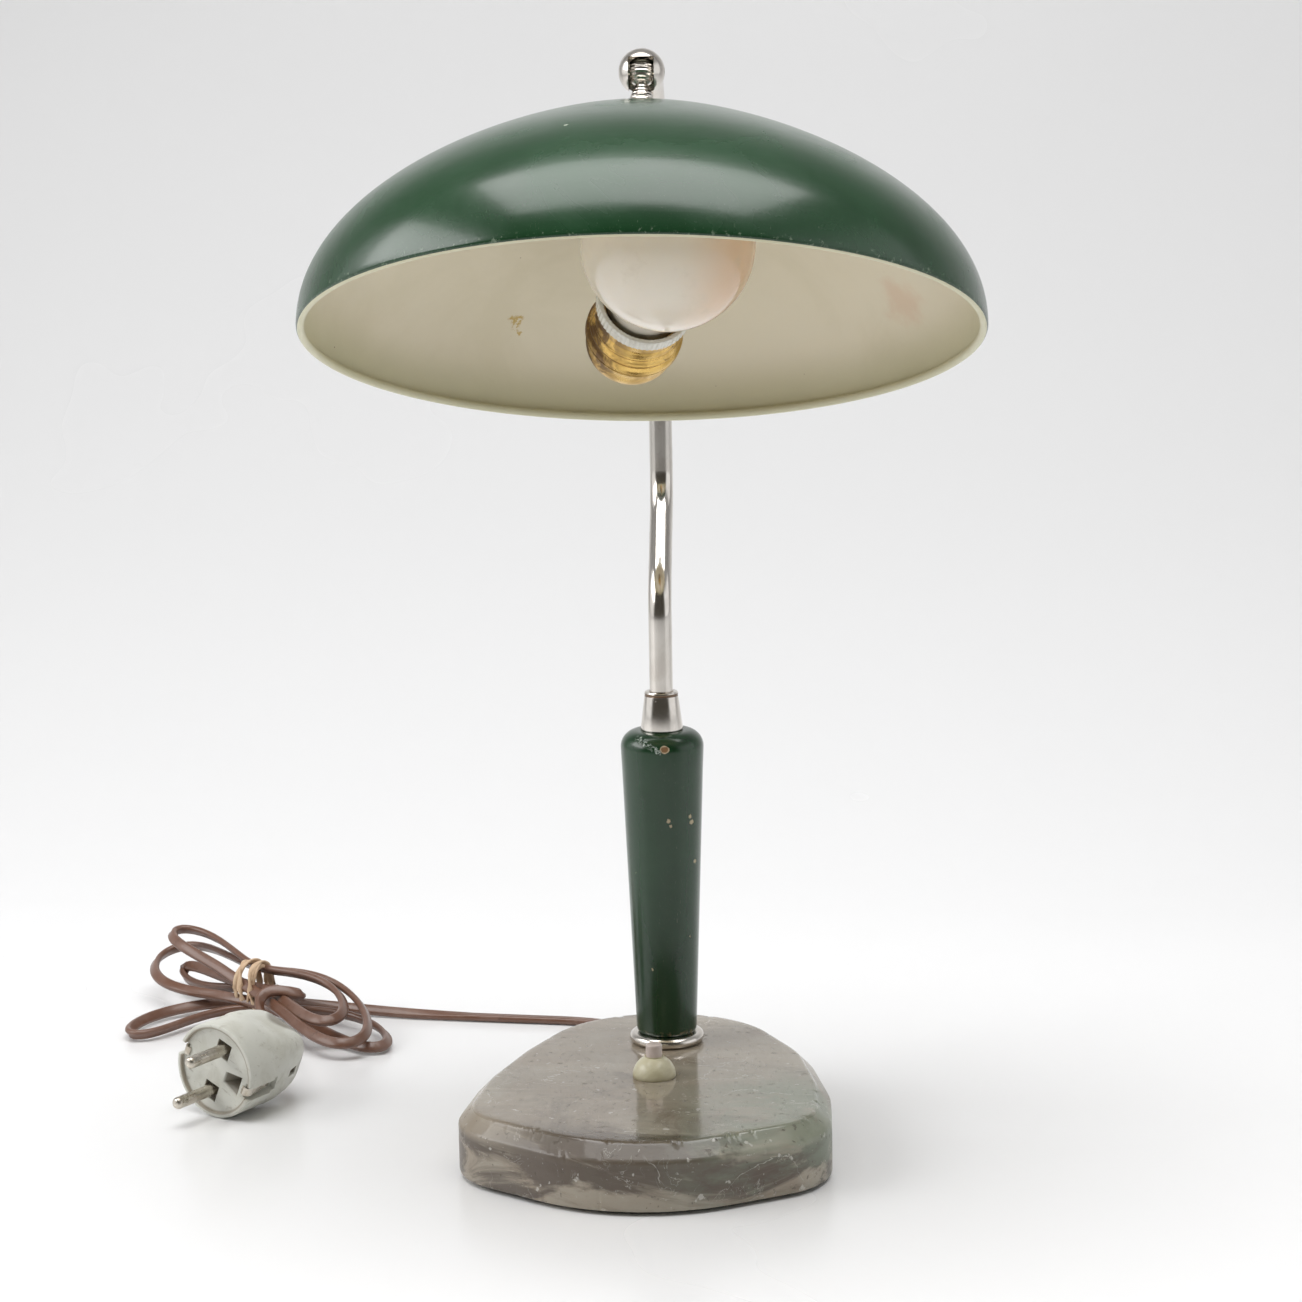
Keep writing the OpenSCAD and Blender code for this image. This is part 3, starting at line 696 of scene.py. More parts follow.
def settle(line, thick, floor_z, steps=260):
    """Pushes passes of the cord that touch apart, and keeps the line smooth and off the table."""
    aim = line.copy()
    count = len(line)
    index = np.arange(count)
    far = np.abs(index[:, None] - index[None, :]) > 6
    fixed = np.zeros(count)
    fixed[:HELD_AT_FOOT] = 1.0
    fixed[-HELD_AT_PLUG:] = 1.0
    free = (1.0 - fixed)[:, None]
    for _ in range(steps):
        gap = line[:, None, :] - line[None, :, :]
        away = np.linalg.norm(gap, axis=2)
        close = far & (away < thick)
        push = np.where(close, (thick - away) / np.maximum(away, 0.2), 0.0)
        move = (gap * push[:, :, None]).sum(axis=1) * 0.24
        size = np.linalg.norm(move, axis=1)[:, None]
        move = move * np.minimum(1.0, 1.2 / np.maximum(size, 1e-9))
        bend = np.zeros_like(line)
        bend[2:-2] = (line[:-4] + line[4:] + 2 * (line[1:-3] + line[3:-1])) / 6 - line[2:-2]
        line = line + free * (move + 0.35 * bend + 0.012 * (aim - line))
        line[:, 2] = np.maximum(line[:, 2], floor_z)
    return line


def cord_line():
    """Centreline of the cord and the direction of its width, in metres."""
    step = 3.0
    flat_length = 160
    cord_spacing = 4.3
    line = smooth_line(cord_stations(), step)
    in_hank = np.zeros(len(line))
    in_hank[int(flat_length / step):] = 1.0
    ease = np.ones(13) / 13
    on_edge = np.convolve(np.pad(in_hank, 6, mode="edge"), ease, mode="valid")
    floor_z = 1.62 + 0.95 * on_edge
    line = settle(line, cord_spacing, floor_z)
    line = even(line, 2.0)
    on_edge = np.interp(np.linspace(0, 1, len(line)), np.linspace(0, 1, len(on_edge)), on_edge)
    sway = np.array([noise.noise(Vector((i * 0.035, 3.7, 1.2))) for i in range(len(line))])
    roll = math.radians(58) * on_edge * (0.80 + 0.45 * sway)
    side = level(line)
    up = np.cross(side, tangents(line))
    wide = side * np.cos(roll)[:, None] + up * np.sin(roll)[:, None]
    return line * MM, wide


def twin_outline(wide, thick, sides=9):
    """Outline of a flat twin cord: two round cores side by side with a shallow groove."""
    radius = thick / 2
    core = wide / 2 - radius
    points = []
    for side in (1, -1):
        for k in range(sides):
            a = math.radians(-66 + 132 * k / (sides - 1)) + (0 if side > 0 else math.pi)
            points.append((side * core + radius * math.cos(a), radius * math.sin(a)))
        points.append((0.0, side * radius * 0.74))
    return points


def cord_paint(look):
    """Brown plastic with a soft shine and some dirt."""
    paint = Paint("cord_pvc", look.cord, 0.29, coat=0.2)
    paint.worn(800.0, 0.00002, 0.16, 70.0, (0.20, 0.115, 0.085), 0.7)
    dirt = paint.noise(260.0, 4.0, 0.65)
    paint.tint(paint.mask(dirt, 0.58, 0.72, 0.5), (0.07, 0.035, 0.025))
    pale = paint.noise(34.0, 3.0, 0.6)
    paint.tint(paint.mask(pale, 0.56, 0.70, 0.35), (0.26, 0.165, 0.125))
    return paint.done()


class LAMP_OT_cord(LampOperator, bpy.types.Operator):
    """Adds the cord with its tied hank, its sleeve, the rubber band and the plug"""

    bl_idname = "lamp.cord"
    bl_label = "Cord, band and plug"

    def make(self, look):
        line, wide = cord_line()
        outline = twin_outline(look.cord_width, look.cord_thick)
        mesh = sweep("cord", line, outline, wide)
        cord = piece(
            "cord", mesh, Matrix.Identity(4), "lamp_base", [cord_paint(look)],
            ("cord_lead", "cord_hank", "cord_tail"), 60.0,
        )
        bands = make_band(look)
        sleeve = make_sleeve()
        plug = make_plug(look)


def make_band(look):
    """A rubber band wound round the middle of the hank."""
    along = np.array(TIE_ALONG)
    side = np.array(TIE_SIDE)
    points = []
    count = 64 * look.band_wraps
    for k in range(count + 1):
        a = 2 * math.pi * k / 64
        wrap = k / count
        lie = 4.4 * math.sin(2.3 * math.pi * wrap + 0.6) + 1.1 * math.sin(a * 1.37 + 2)
        swell = 0.7 * math.sin(a * 0.31 + wrap * 9)
        reach = 7.4 + swell
        tall = 11.0 + swell
        offset = side * reach * math.cos(a) + np.array([0, 0, 1]) * tall * math.sin(a)
        points.append((np.array(TIE) + offset + along * lie) * MM)
    line = even(np.array(points), 0.0012)
    twist = np.arange(len(line)) * 0.22
    side_of = level(line)
    up = np.cross(side_of, tangents(line))
    wide = side_of * np.cos(twist)[:, None] + up * np.sin(twist)[:, None]
    outline = [(1.45 * MM * math.cos(a), 0.70 * MM * math.sin(a))
        for a in [2 * math.pi * k / 12 for k in range(12)]]
    mesh = sweep("rubber_band", line, outline, wide)
    paint = Paint("band_rubber", (0.56, 0.39, 0.25), 0.5)
    paint.worn(900.0, 0.00004, 0.2, 300.0, (0.66, 0.50, 0.34), 0.8)
    paint.tint(paint.mask(paint.noise(500.0, 3.0), 0.60, 0.75, 0.6), (0.30, 0.17, 0.09))
    return piece(
        "rubber_band", mesh, Matrix.Identity(4), "lamp_base", [paint.done()],
        ("hank_tie",), 60.0,
    )


def make_sleeve():
    """The ribbed rubber sleeve where the cord leaves the foot."""
    profile = [(0, -2.0), (3.8, -2.0), (3.8, 2.0)]
    for k in range(9):
        z = 2.6 + 2.4 * k
        r = 3.75 - 0.078 * (z - 2)
        profile += [(r, z), (r, z + 1.2), (r - 0.45, z + 1.5), (r - 0.45, z + 2.1)]
    profile += [(3.0, 23.6), (2.7, 24.0), (0, 24.0)]
    mesh = lathe("sleeve", profile, 48)
    paint = plain("sleeve_rubber", (0.030, 0.020, 0.016), 0.6, shade=(0.06, 0.045, 0.036))
    place = shift(CORD_X, SLEEVE_Y, CORD_Z) @ turn(-90, "X")
    return piece(
        "sleeve", mesh, place, "lamp_base", [paint.done()], ("cord_sleeve",)
    )


def loft_ring(half_x, half_y, power, z, sides=96):
    """A rounded outline between a circle and a box, in millimetres."""
    ring = []
    for k in range(sides):
        a = 2 * math.pi * k / sides
        c, s = math.cos(a), math.sin(a)
        r = (abs(c / half_x) ** power + abs(s / half_y) ** power) ** (-1 / power)
        ring.append(Vector((r * c, r * s, z)) * MM)
    return ring


def prism(points, low, high):
    """A straight cutter between two heights, tapered by the second outline."""
    bottom, top = points
    rings = [[Vector((x, y, low)) * MM for x, y in bottom], [Vector((x, y, high)) * MM for x, y in top]]
    return mesh_of("cutter", rings)


def make_plug(look):
    """The plug: its body with recessed face, two pins and two side clips."""
    face = [loft_ring(r, r, 2.0, z) for r, z in (
        (16.7, -1.5), (16.9, -1.4), (17.0, -0.2), (17.3, 0.0), (18.3, 0.0), (18.85, -0.3),
        (19.0, -0.9), (19.0, -6.0), (19.0, -13.6), (18.9, -14.4), (18.2, -14.9))]
    neck = [loft_ring(x, y, p, z) for x, y, p, z in (
        (17.9, 17.6, 2.3, -16.0), (17.6, 16.8, 2.9, -19.0), (16.8, 15.6, 3.4, -24.0),
        (15.6, 14.2, 3.8, -30.0), (14.4, 12.9, 4.0, -34.8), (13.6, 12.1, 4.0, -36.8),
        (12.2, 10.8, 3.8, -37.8), (6.0, 5.4, 2.4, -38.0), (4.4, 4.0, 2.2, -37.6))]
    mesh = mesh_of("plug_body", face + neck)
    body = plug_paint(look)
    plug = piece("plug_shell", mesh, AT_PLUG, "lamp_base", [body], ("plug_body",))
    cutters = []
    for side in (-1, 1):
        pit = [(-3.3, side * 9.5 - 3.4), (3.6, side * 9.5 - 3.4),
            (3.6, side * 9.5 + 3.4), (-3.3, side * 9.5 + 3.4)]
        cutters.append(prism((pit, pit), -4.6, 1.0))
        notch = [(side * 15.2, -2.9), (side * 22.0, -2.9), (side * 22.0, 2.9), (side * 15.2, 2.9)]
        if side < 0:
            notch.reverse()
        cutters.append(prism((notch, notch), -17.5, 1.0))
    deep = [(8.0, -1.6), (11.4, -1.6), (11.4, 1.6), (8.0, 1.6)]
    wide = [(4.2, -2.6), (12.6, -5.0), (12.6, 4.2), (4.2, 2.2)]
    cutters.append(prism((deep, wide), -9.0, -1.0))
    build = bmesh.new()
    for side in (-1, 1):
        block(build, (0.7, 5.0, 20.0), shift(side * 16.8, 0, -27.0) @ turn(side * 8.0, "Y"))
        block(build, (6.0, 3.4, 5.0), shift(side * 16.6, 0.0, -30.0))
    seam = bpy.data.meshes.new("seam")
    build.to_mesh(seam)
    build.free()
    cutters.append(seam)
    carve(plug, cutters, 0.00025)
    nickel = Paint("plug_nickel", (0.60, 0.56, 0.49), 0.24, metal=1.0)
    nickel.worn(900.0, 0.00002, 0.16, 160.0, (0.40, 0.34, 0.26), 0.7)
    ring = nickel.noise(900.0, 2.0, 0.5, 0.0, nickel.stretched((0.1, 0.1, 1.0)))
    nickel.raise_by(ring, 0.00002)
    nickel = nickel.done()
    pieces = [plug]
    for side, name in ((1, "plug_pin_upper"), (-1, "plug_pin_lower")):
        profile = [(0, -12.0), (2.4, -12.0), (2.4, 13.4), (2.34, 13.6), (2.4, 13.9)]
        profile += arc(0.6, 17.2, 1.8, 0, 70, 6) + arc(0, 16.6, 2.4, 76, 90, 3)[:-1] + [(0, 19.0)]
        pin = lathe(name, profile, 48)
        place = AT_PLUG @ shift(0, side * 9.5, 0)
        pieces.append(piece(
            name.replace("plug_pin", "pin"), pin, place, "lamp_base", [nickel], (name,)
        ))
    for side, name in ((1, "earth_clip_near"), (-1, "earth_clip_far")):
        spring = np.array([[side * x, 0.0, z] for x, z in (
            (15.6, -15.5), (16.1, -12.0), (16.9, -7.0), (17.2, -3.0), (16.6, -1.3), (15.4, -0.7),
            (14.2, -1.2))]) * MM
        line = smooth_line(spring, 0.0007)
        strip = [(-1.7 * MM, -0.3 * MM), (1.7 * MM, -0.3 * MM), (1.7 * MM, 0.3 * MM),
            (-1.7 * MM, 0.3 * MM)]
        flat = np.tile(np.array([0.0, 1.0, 0.0]), (len(line), 1))
        clip = sweep(name, line, strip, flat)
        pieces.append(piece(
            name.replace("earth_", ""), clip, AT_PLUG, "lamp_base", [nickel], (name,)
        ))
    return pieces


def plug_paint(look):
    """Grey-white moulding, darker in its recesses and grubby along its rim."""
    paint = Paint("plug_plastic", look.plug, 0.40, coat=0.08)
    paint.worn(500.0, 0.00005, 0.15, 90.0, (0.50, 0.49, 0.42), 0.7)
    flat = paint.node("ShaderNodeVectorMath")
    flat.operation = "LENGTH"
    paint.feed(flat.inputs[0], paint.stretched((1, 1, 0)))
    out = flat.outputs["Value"]
    ring = paint.both(paint.mask(out, 0.0162, 0.0169), paint.mask(out, 0.0180, 0.0172))
    ring = paint.both(ring, paint.span("Z", -2.4, -1.0))
    paint.tint(paint.math("MULTIPLY", ring, 0.75), (0.24, 0.19, 0.13))
    # Darker inside the recesses round the pins.
    pits = paint.both(paint.span("Z", -1.6, -2.6), paint.mask(out, 0.0150, 0.0140))
    paint.tint(paint.math("MULTIPLY", pits, 0.8), (0.16, 0.13, 0.09))
    grime = paint.noise(220.0, 6.0, 0.7, 0.5)
    paint.tint(paint.mask(grime, 0.56, 0.70, 0.55), (0.34, 0.31, 0.25))
    scuff = paint.noise(60.0, 3.0, 0.6, 2.0, paint.stretched((1, 9, 1)))
    paint.tint(paint.mask(scuff, 0.66, 0.70, 0.5), (0.28, 0.25, 0.20))
    return paint.done()


# ---------------------------------------------------------------------------
# Foot
# ---------------------------------------------------------------------------
OUTLINE = [(0, -60, 67.5), (39, -80, 30), (-39, -80, 30), (0, -32, 61), (-2, -9, 51.5)]


def foot_line(inset, count=900):
    """Outline of the foot as even points, moved in by the inset in millimetres."""
    raw = []
    for k in range(2880):
        a = 2 * math.pi * k / 2880
        n = np.array([math.cos(a), math.sin(a)])
        best = max(OUTLINE, key=lambda c: c[0] * n[0] + c[1] * n[1] + c[2])
        raw.append(np.array(best[:2]) + n * (best[2] - inset))
    raw.append(raw[0])
    raw = np.array(raw)
    along = np.concatenate([[0.0], np.cumsum(np.linalg.norm(np.diff(raw, axis=0), axis=1))])
    want = np.linspace(0, along[-1], count, endpoint=False)
    return np.stack([np.interp(want, along, raw[:, i]) for i in range(2)], axis=1)


def stone_paint(look):
    """Polished grey-brown marble with dark bands, green patches and white veins, and painted shade on
    its side walls and front.
    """
    paint = Paint("foot_marble", look.stone, 0.13, coat=0.3, ior=1.55)
    cloud = paint.noise(26.0, 8.0, 0.62, 0.8)
    paint.tint(paint.mask(cloud, 0.38, 0.66, 0.85), (0.375, 0.335, 0.268))
    smoke = paint.noise(11.0, 6.0, 0.65, 1.6, paint.stretched((0.9, 1.4, 2.4), (0, 12, 8)))
    paint.tint(paint.mask(smoke, 0.52, 0.66, 0.75), (0.17, 0.135, 0.10))
    bands = paint.noise(15.0, 7.0, 0.62, 0.9, paint.stretched((0.42, 1.9, 3.6), (4, -5, 10)))
    # Dark bands in the stone, laid on more strongly on the side walls and at the front: the bands are
    # the stone's own, and the extra darkness there is painted shade.
    front = paint.either(paint.span("Z", 21.0, 16.0), paint.span("Y", -96.0, -118.0, 0.8))
    band = paint.both(paint.mask(bands, 0.46, 0.56), paint.math("ADD", front, 0.16, True))
    paint.tint(paint.math("MULTIPLY", band, 0.9), look.stone_dark)
    patch = paint.noise(17.0, 6.0, 0.66, 1.2)
    right = paint.both(paint.span("X", 4.0, 48.0), paint.span("Y", -24.0, -70.0))
    patch = paint.both(paint.mask(patch, 0.40, 0.58), paint.math("ADD", right, 0.06, True))
    paint.tint(paint.math("MULTIPLY", patch, 0.65), look.stone_green)
    for scale, wide, strong in ((24.0, 0.006, 0.45), (60.0, 0.006, 0.35)):
        lines = paint.noise(scale, 5.0, 0.6, 1.1)
        near = paint.math("ABSOLUTE", paint.math("SUBTRACT", lines, 0.5))
        gaps = paint.mask(paint.noise(scale * 0.9, 3.0), 0.50, 0.60)
        vein = paint.both(paint.mask(near, wide, wide * 0.15), gaps)
        paint.tint(paint.math("MULTIPLY", vein, strong), (0.68, 0.66, 0.60))
    for scale, low, high, much in ((230.0, 0.66, 0.72, 0.6), (800.0, 0.68, 0.76, 0.45)):
        fleck = paint.noise(scale, 3.0, 0.55)
        paint.tint(paint.mask(fleck, low, high, much), (0.62, 0.60, 0.55))
    pits = paint.mask(paint.noise(380.0, 3.0, 0.6), 0.37, 0.30)
    paint.tint(paint.math("MULTIPLY", pits, 0.6), (0.09, 0.07, 0.05))
    side = paint.span("Z", 25.9, 24.4)
    paint.roughen(side, 0.42)
    paint.roughen(paint.mask(cloud, 0.55, 0.7, 0.6), 0.26)
    paint.roughen(pits, 0.6)
    paint.raise_by(pits, -0.00012)
    paint.raise_by(paint.noise(300.0, 4.0, 0.6), 0.00003)
    paint.shader.inputs["Coat Roughness"].default_value = 0.06
    return paint.done()


class LAMP_OT_foot(LampOperator, bpy.types.Operator):
    """Adds the stone foot with its bevel, chipped edges and felt"""

    bl_idname = "lamp.foot"
    bl_label = "Foot"

    def make(self, look):
        rows = [(0.9, 1.5), (0.25, 1.7), (0.0, 2.4), (0.0, 7.0), (0.0, 12.0), (0.0, 17.0),
            (0.0, 18.9), (0.12, 19.7), (0.5, 20.4), (1.0, 20.95), (2.6, 22.6), (4.4, 24.4),
            (5.1, 25.1), (5.5, 25.55), (6.0, 25.88), (6.7, 26.0), (9.0, 26.0), (16.0, 26.0)]
        edges = {6: 0.5, 7: 1.0, 8: 1.0, 9: 0.5, 12: 0.4, 13: 0.8, 14: 0.8, 15: 0.3, 1: 0.8, 2: 0.5}
        rings = []
        for number, (inset, z) in enumerate(rows):
            ring = []
            for x, y in foot_line(inset):
                point = Vector((x, y, z))
                worn = noise.noise(point * 0.16 + Vector((3, 1, 7)))
                fine = noise.noise(point * 0.75 + Vector((9, 2, 4)))
                depth = max(0.0, worn + 0.6 * fine - 0.34) * look.chip * edges.get(number, 0.0) * 3
                wave = 0.05 * noise.noise(point * 0.05) * (1 if 1 < number < 17 else 0)
                inward = Vector((-x, -55 - y, 0)).normalized()
                drop = Vector((0, 0, -0.5)) if number > 8 else Vector((0, 0, 0))
                ring.append(point * MM + (inward + drop) * depth + inward * wave * MM)
            rings.append(ring)
        rings.append([Vector((0, -45, 26)) * MM])
        mesh = mesh_of("foot", rings)
        piece("foot", mesh, AT_STEM, "lamp_base", [stone_paint(look)],
            ("stone_foot",), 50.0)
        felt = Paint("foot_felt", (0.018, 0.034, 0.020), 0.95)
        felt.worn(2500.0, 0.00012, 0.0, 200.0, (0.035, 0.055, 0.038), 0.8)
        paint_nodes(felt.done(), ["foot_felt"])


# ---------------------------------------------------------------------------
# Stem
# ---------------------------------------------------------------------------
class LAMP_OT_stem(LampOperator, bpy.types.Operator):
    """Adds the enamelled wooden stem with its chips and scratches"""

    bl_idname = "lamp.stem"
    bl_label = "Stem"

    def make(self, look):
        profile = [(5.2, 30.2), (10.3, 30.2), (10.9, 30.35), (11.35, 30.8), (11.62, 31.5), (11.75, 32.6)]
        for k in range(1, 13):
            part = k / 13
            profile.append((11.75 + 4.20 * part, 32.6 + 111.2 * part))
        profile += arc(9.5, 144.0, 6.5, 0, 90, 14)
        profile += [(8.9, 150.55), (8.4, 150.5), (5.2, 150.5)]
        mesh = lathe("stem", profile, 144, closed=True)
        paint = enamel(look, "stem_enamel")
        paint.rough = 0.24
        turned = paint.noise(420.0, 2.0, 0.5, 0.0, paint.stretched((0.12, 0.12, 1.0)))
        paint.raise_by(turned, 0.00003)
        wood = paint.spot((2.6, -15.2, 145.6), 1.35, 0.16, 0.10, (1, 0.5, 1.2))
        halo = paint.spot((2.6, -15.2, 145.6), 1.75, 0.16, 0.10, (1, 0.5, 1.2))
        paint.tint(halo, (0.62, 0.50, 0.33))
        paint.tint(wood, (0.26, 0.14, 0.06))
        scratch = paint.noise(1000.0, 3.0, 0.7, 1.5)
        lines = []
        for x, z in ((-8.6, 149.3), (-7.2, 148.6), (-5.4, 147.8), (-3.6, 146.9), (-2.0, 146.0),
                (-0.6, 145.2), (0.6, 144.6)):
            lines.append(paint.spot((x, -13.6, z), 1.15, 0.55, 0.3, (1, 0.3, 1)))
        track = paint.both(paint.either(*lines), paint.mask(scratch, 0.50, 0.56))
        paint.tint(track, (0.60, 0.68, 0.62))
        small = []
        for x, y, z, r in ((3.6, -14.1, 117.5, 0.7), (4.3, -14.0, 115.4, 0.5), (11.4, -9.6, 118.3, 0.6),
                (11.9, -9.1, 115.9, 0.8), (12.6, -6.2, 100.0, 0.6), (-9.8, -8.9, 96.0, 0.5),
                (10.3, -7.1, 70.3, 0.5), (-3.9, -12.4, 58.0, 0.4), (7.8, -10.1, 137.0, 0.4)):
            small.append(paint.spot((x, y, z), r, 0.5, 0.2, (1, 0.5, 0.8)))
        chips = paint.either(*small)
        paint.tint(chips, (0.50, 0.42, 0.28))
        bare = paint.either(wood, halo, chips, track)
        paint.roughen(bare, 0.8)
        paint.raise_by(bare, -0.00015)
        rub = paint.noise(260.0, 5.0, 0.7)
        foot_rub = paint.both(paint.span("Z", 33.2, 31.0), paint.mask(rub, 0.52, 0.60))
        paint.tint(paint.math("MULTIPLY", foot_rub, 0.8), (0.22, 0.16, 0.08))
        piece("stem", mesh, AT_STEM, "lamp_base", [paint.done()], ("wooden_stem",), 50.0)
        steel = plain("plain_steel", (0.42, 0.39, 0.35), 0.42, 1.0, shade=(0.20, 0.13, 0.08))
        paint_nodes(steel.done(), ["threaded_rod", "rod_washer", "rod_nut", "tail_nut",
            "holder_strap", "holder_nipple", "holder_nut"])


# ---------------------------------------------------------------------------
# Arm
# ---------------------------------------------------------------------------
def arm_line():
    """Middle line of the bent tube in its own plane, in metres."""
    small, big, angle = 24.0, 52.0, math.radians(48)
    back, reach = 36.0, 8.3
    z1 = 193.2
    points = [(0.0, z) for z in np.linspace(158.0, z1, 8)[:-1]]
    for k in range(15):
        a = angle * k / 14
        points.append((small * (1 - math.cos(a)), z1 + small * math.sin(a)))
    slope = (back - 2 * small * (1 - math.cos(angle))) / math.sin(angle)
    z4 = z1 + 2 * small * math.sin(angle) + slope * math.cos(angle)
    for k in range(14, -1, -1):
        a = angle * k / 14
        points.append((back - small * (1 - math.cos(a)), z4 - small * math.sin(a)))
    z5 = BALL_Z - big
    for z in np.linspace(z4, z5, 12)[1:-1]:
        points.append((back, z))
    for k in range(31):
        a = math.pi / 2 * k / 30
        points.append((back - big * (1 - math.cos(a)), z5 + big * math.sin(a)))
    for y in np.linspace(back - big, BALL_Y + reach, 9)[1:]:
        points.append((y, BALL_Z))
    return np.array([(0.0, y, z) for y, z in points]) * MM


class LAMP_OT_arm(LampOperator, bpy.types.Operator):
    """Adds the bent tube, the cone and the ring, and plates the knuckle"""

    bl_idname = "lamp.arm"
    bl_label = "Arm"

    def make(self, look):
        line = arm_line()
        wide = np.tile(np.array([1.0, 0.0, 0.0]), (len(line), 1))
        mesh = sweep("tube", line, round_outline(4.5 * MM, 40), wide)
        plate = chrome(look, "chrome_tube", 0.10)
        piece("tube", mesh, AT_ARM, "lamp_base", [plate.done()], ("arm_tube",))
        cone = [(5.0, 150.5), (7.9, 150.5), (8.15, 150.7), (8.2, 151.1), (6.55, 163.6), (6.35, 164.2),
            (6.5, 164.5), (6.5, 165.0), (6.25, 165.4), (5.9, 165.5), (4.9, 165.5), (4.6, 165.2),
            (4.52, 164.6), (4.52, 159.0), (5.0, 158.6)]
        plate = chrome(look, "chrome_cone", 0.11, 0.6)
        lip = paint_line(plate, 164.35, 0.35)
        plate.tint(lip, (0.16, 0.10, 0.06))
        plate.dull(lip, 0.3)
        mesh = lathe("cone", cone, 128, closed=True)
        piece("cone", mesh, AT_STEM, "lamp_base", [plate.done()], ("ferrule",), 40.0)
        band = [(5.2, 26.0)] + arc(12.5, 28.1, 2.1, -90, 90, 16) + [(5.2, 30.2)]
        plate = chrome(look, "chrome_ring", 0.16, 0.9)
        mesh = lathe("ring", band, 160, closed=True)
        piece("ring", mesh, AT_STEM, "lamp_base", [plate.done()], ("foot_ring",), 50.0)
        plate = chrome(look, "chrome_knuckle", 0.15, 0.8)
        paint_nodes(plate.done(), ["knuckle_ball", "knuckle_pin", "crown_washer"])
        plate = chrome(look, "chrome_tongue", 0.20, 0.7)
        ribs = plate.node("ShaderNodeTexWave")
        ribs.inputs["Scale"].default_value = 230.0
        ribs.bands_direction = "Z"
        plate.feed(ribs.inputs["Vector"], plate.stretched((1, 1, 1), (20, 0, -4)))
        plate.raise_by(ribs.outputs["Fac"], 0.00018)
        paint_nodes(plate.done(), ["knuckle_tongue"])


def paint_line(paint, height, half):
    """A mask for a thin ring at one height in millimetres."""
    low = paint.span("Z", height - 2 * half, height - half)
    high = paint.span("Z", height + 2 * half, height + half)
    return paint.both(low, high)


# ---------------------------------------------------------------------------
# Shade
# ---------------------------------------------------------------------------
def crown_drop(k):
    """Depth of the shade's curve, from 0 at its middle to 1 at its rim."""
    return 1 - (1 - k ** 1.25) ** (1 / 2.1)


def shade_curve(thick, steps=72):
    """Profile of the shade from the crown to the rim, in millimetres."""
    full = SHADE_H / (1 - crown_drop(CROWN_R / SHADE_R))
    points = []
    for i in range(steps + 1):
        k = i / steps
        r = CROWN_R + (SHADE_R - CROWN_R) * math.sin(math.pi / 2 * k)
        z = -NECK_L - full * (crown_drop(min(1.0, r / SHADE_R)) - crown_drop(CROWN_R / SHADE_R))
        points.append((r - thick * k * k, z - thick * (1 - k * k)))
    return points


def outside_paint(look):
    """Green enamel with worn edges for the outside of the shade."""
    paint = enamel(look, "shade_enamel")
    scuff = paint.noise(500.0, 6.0, 0.7)
    edge = paint.both(paint.span("Z", RIM_Z + 1.8, RIM_Z + 0.2), paint.mask(scuff, 0.56, 0.66))
    paint.tint(paint.math("MULTIPLY", edge, 0.6), (0.22, 0.28, 0.20))
    haze = paint.noise(14.0, 4.0, 0.6)
    paint.tint(paint.mask(haze, 0.5, 0.75, 0.15), (0.04, 0.085, 0.05))
    spun = paint.noise(700.0, 2.0, 0.5, 0.0, paint.stretched((0.02, 0.02, 1.0)))
    paint.raise_by(spun, 0.00002)
    marks = []
    for x, y, z, r in ((34, -52, -28, 1.0), (-61, -62, -45, 0.8), (18, -60, -30, 0.6),
            (71, -66, -54, 0.9), (-20, -88, -50, 0.7), (46, -92, -62, 0.6), (-92, -55, -70, 0.8),
            (88, 30, -62, 0.9), (-30, 80, -46, 1.0), (12, 96, -58, 0.8)):
        marks.append(paint.spot((x, y, z), r, 0.6, 0.3))
    paint.tint(paint.either(*marks), (0.32, 0.36, 0.27))
    return paint.done()


def inside_paint(look):
    """Aged cream paint with rust specks, a stain and a scrape for the inside of the shade."""
    paint = Paint("shade_lining", look.lining, 0.38, coat=0.1)
    broad = paint.noise(20.0, 5.0, 0.6, 0.5)
    paint.tint(paint.mask(broad, 0.40, 0.70, 0.55), (0.66, 0.60, 0.44))
    paint.tint(paint.span("Z", RIM_Z + 22, RIM_Z + 1, 0.55), (0.46, 0.47, 0.29))
    specks = paint.mask(paint.cells(150.0), 0.055, 0.03)
    few = paint.mask(paint.noise(45.0, 2.0), 0.56, 0.62)
    paint.tint(paint.math("MULTIPLY", paint.both(specks, few), 0.8), (0.16, 0.07, 0.03))
    rust = []
    for x, y, z, r in ((63.0, 79.0, -47.0, 1.1), (57.0, 77.0, -44.5, 0.8), (58.5, 96.0, -66.0, 0.9),
            (-6.0, 103.0, -60.5, 0.8), (24.0, 90.0, -47.0, 0.5)):
        rust.append(paint.spot((x, y, z), r, 0.5, 0.3))
    rust = paint.either(*rust)
    paint.tint(rust, (0.20, 0.07, 0.025))
    stain = paint.spot((93.0, 58.0, -66.0), 8.0, 0.5, 0.7)
    paint.tint(paint.math("MULTIPLY", stain, 0.45), (0.66, 0.42, 0.28))
    scrape = paint.spot((-52.0, 92.0, -62.0), 4.0, 0.8, 0.3, (1.6, 1, 0.8))
    scrape = paint.both(scrape, paint.mask(paint.noise(420.0, 4.0, 0.7), 0.46, 0.54))
    paint.tint(scrape, (0.52, 0.36, 0.10))
    paint.roughen(paint.mask(broad, 0.4, 0.7), 0.50)
    paint.roughen(rust, 0.85)
    paint.raise_by(paint.noise(700.0, 3.0, 0.6), 0.00003)
    paint.raise_by(paint.noise(90.0, 2.0, 0.5), 0.00005)
    paint.raise_by(rust, 0.0001)
    return paint.done()


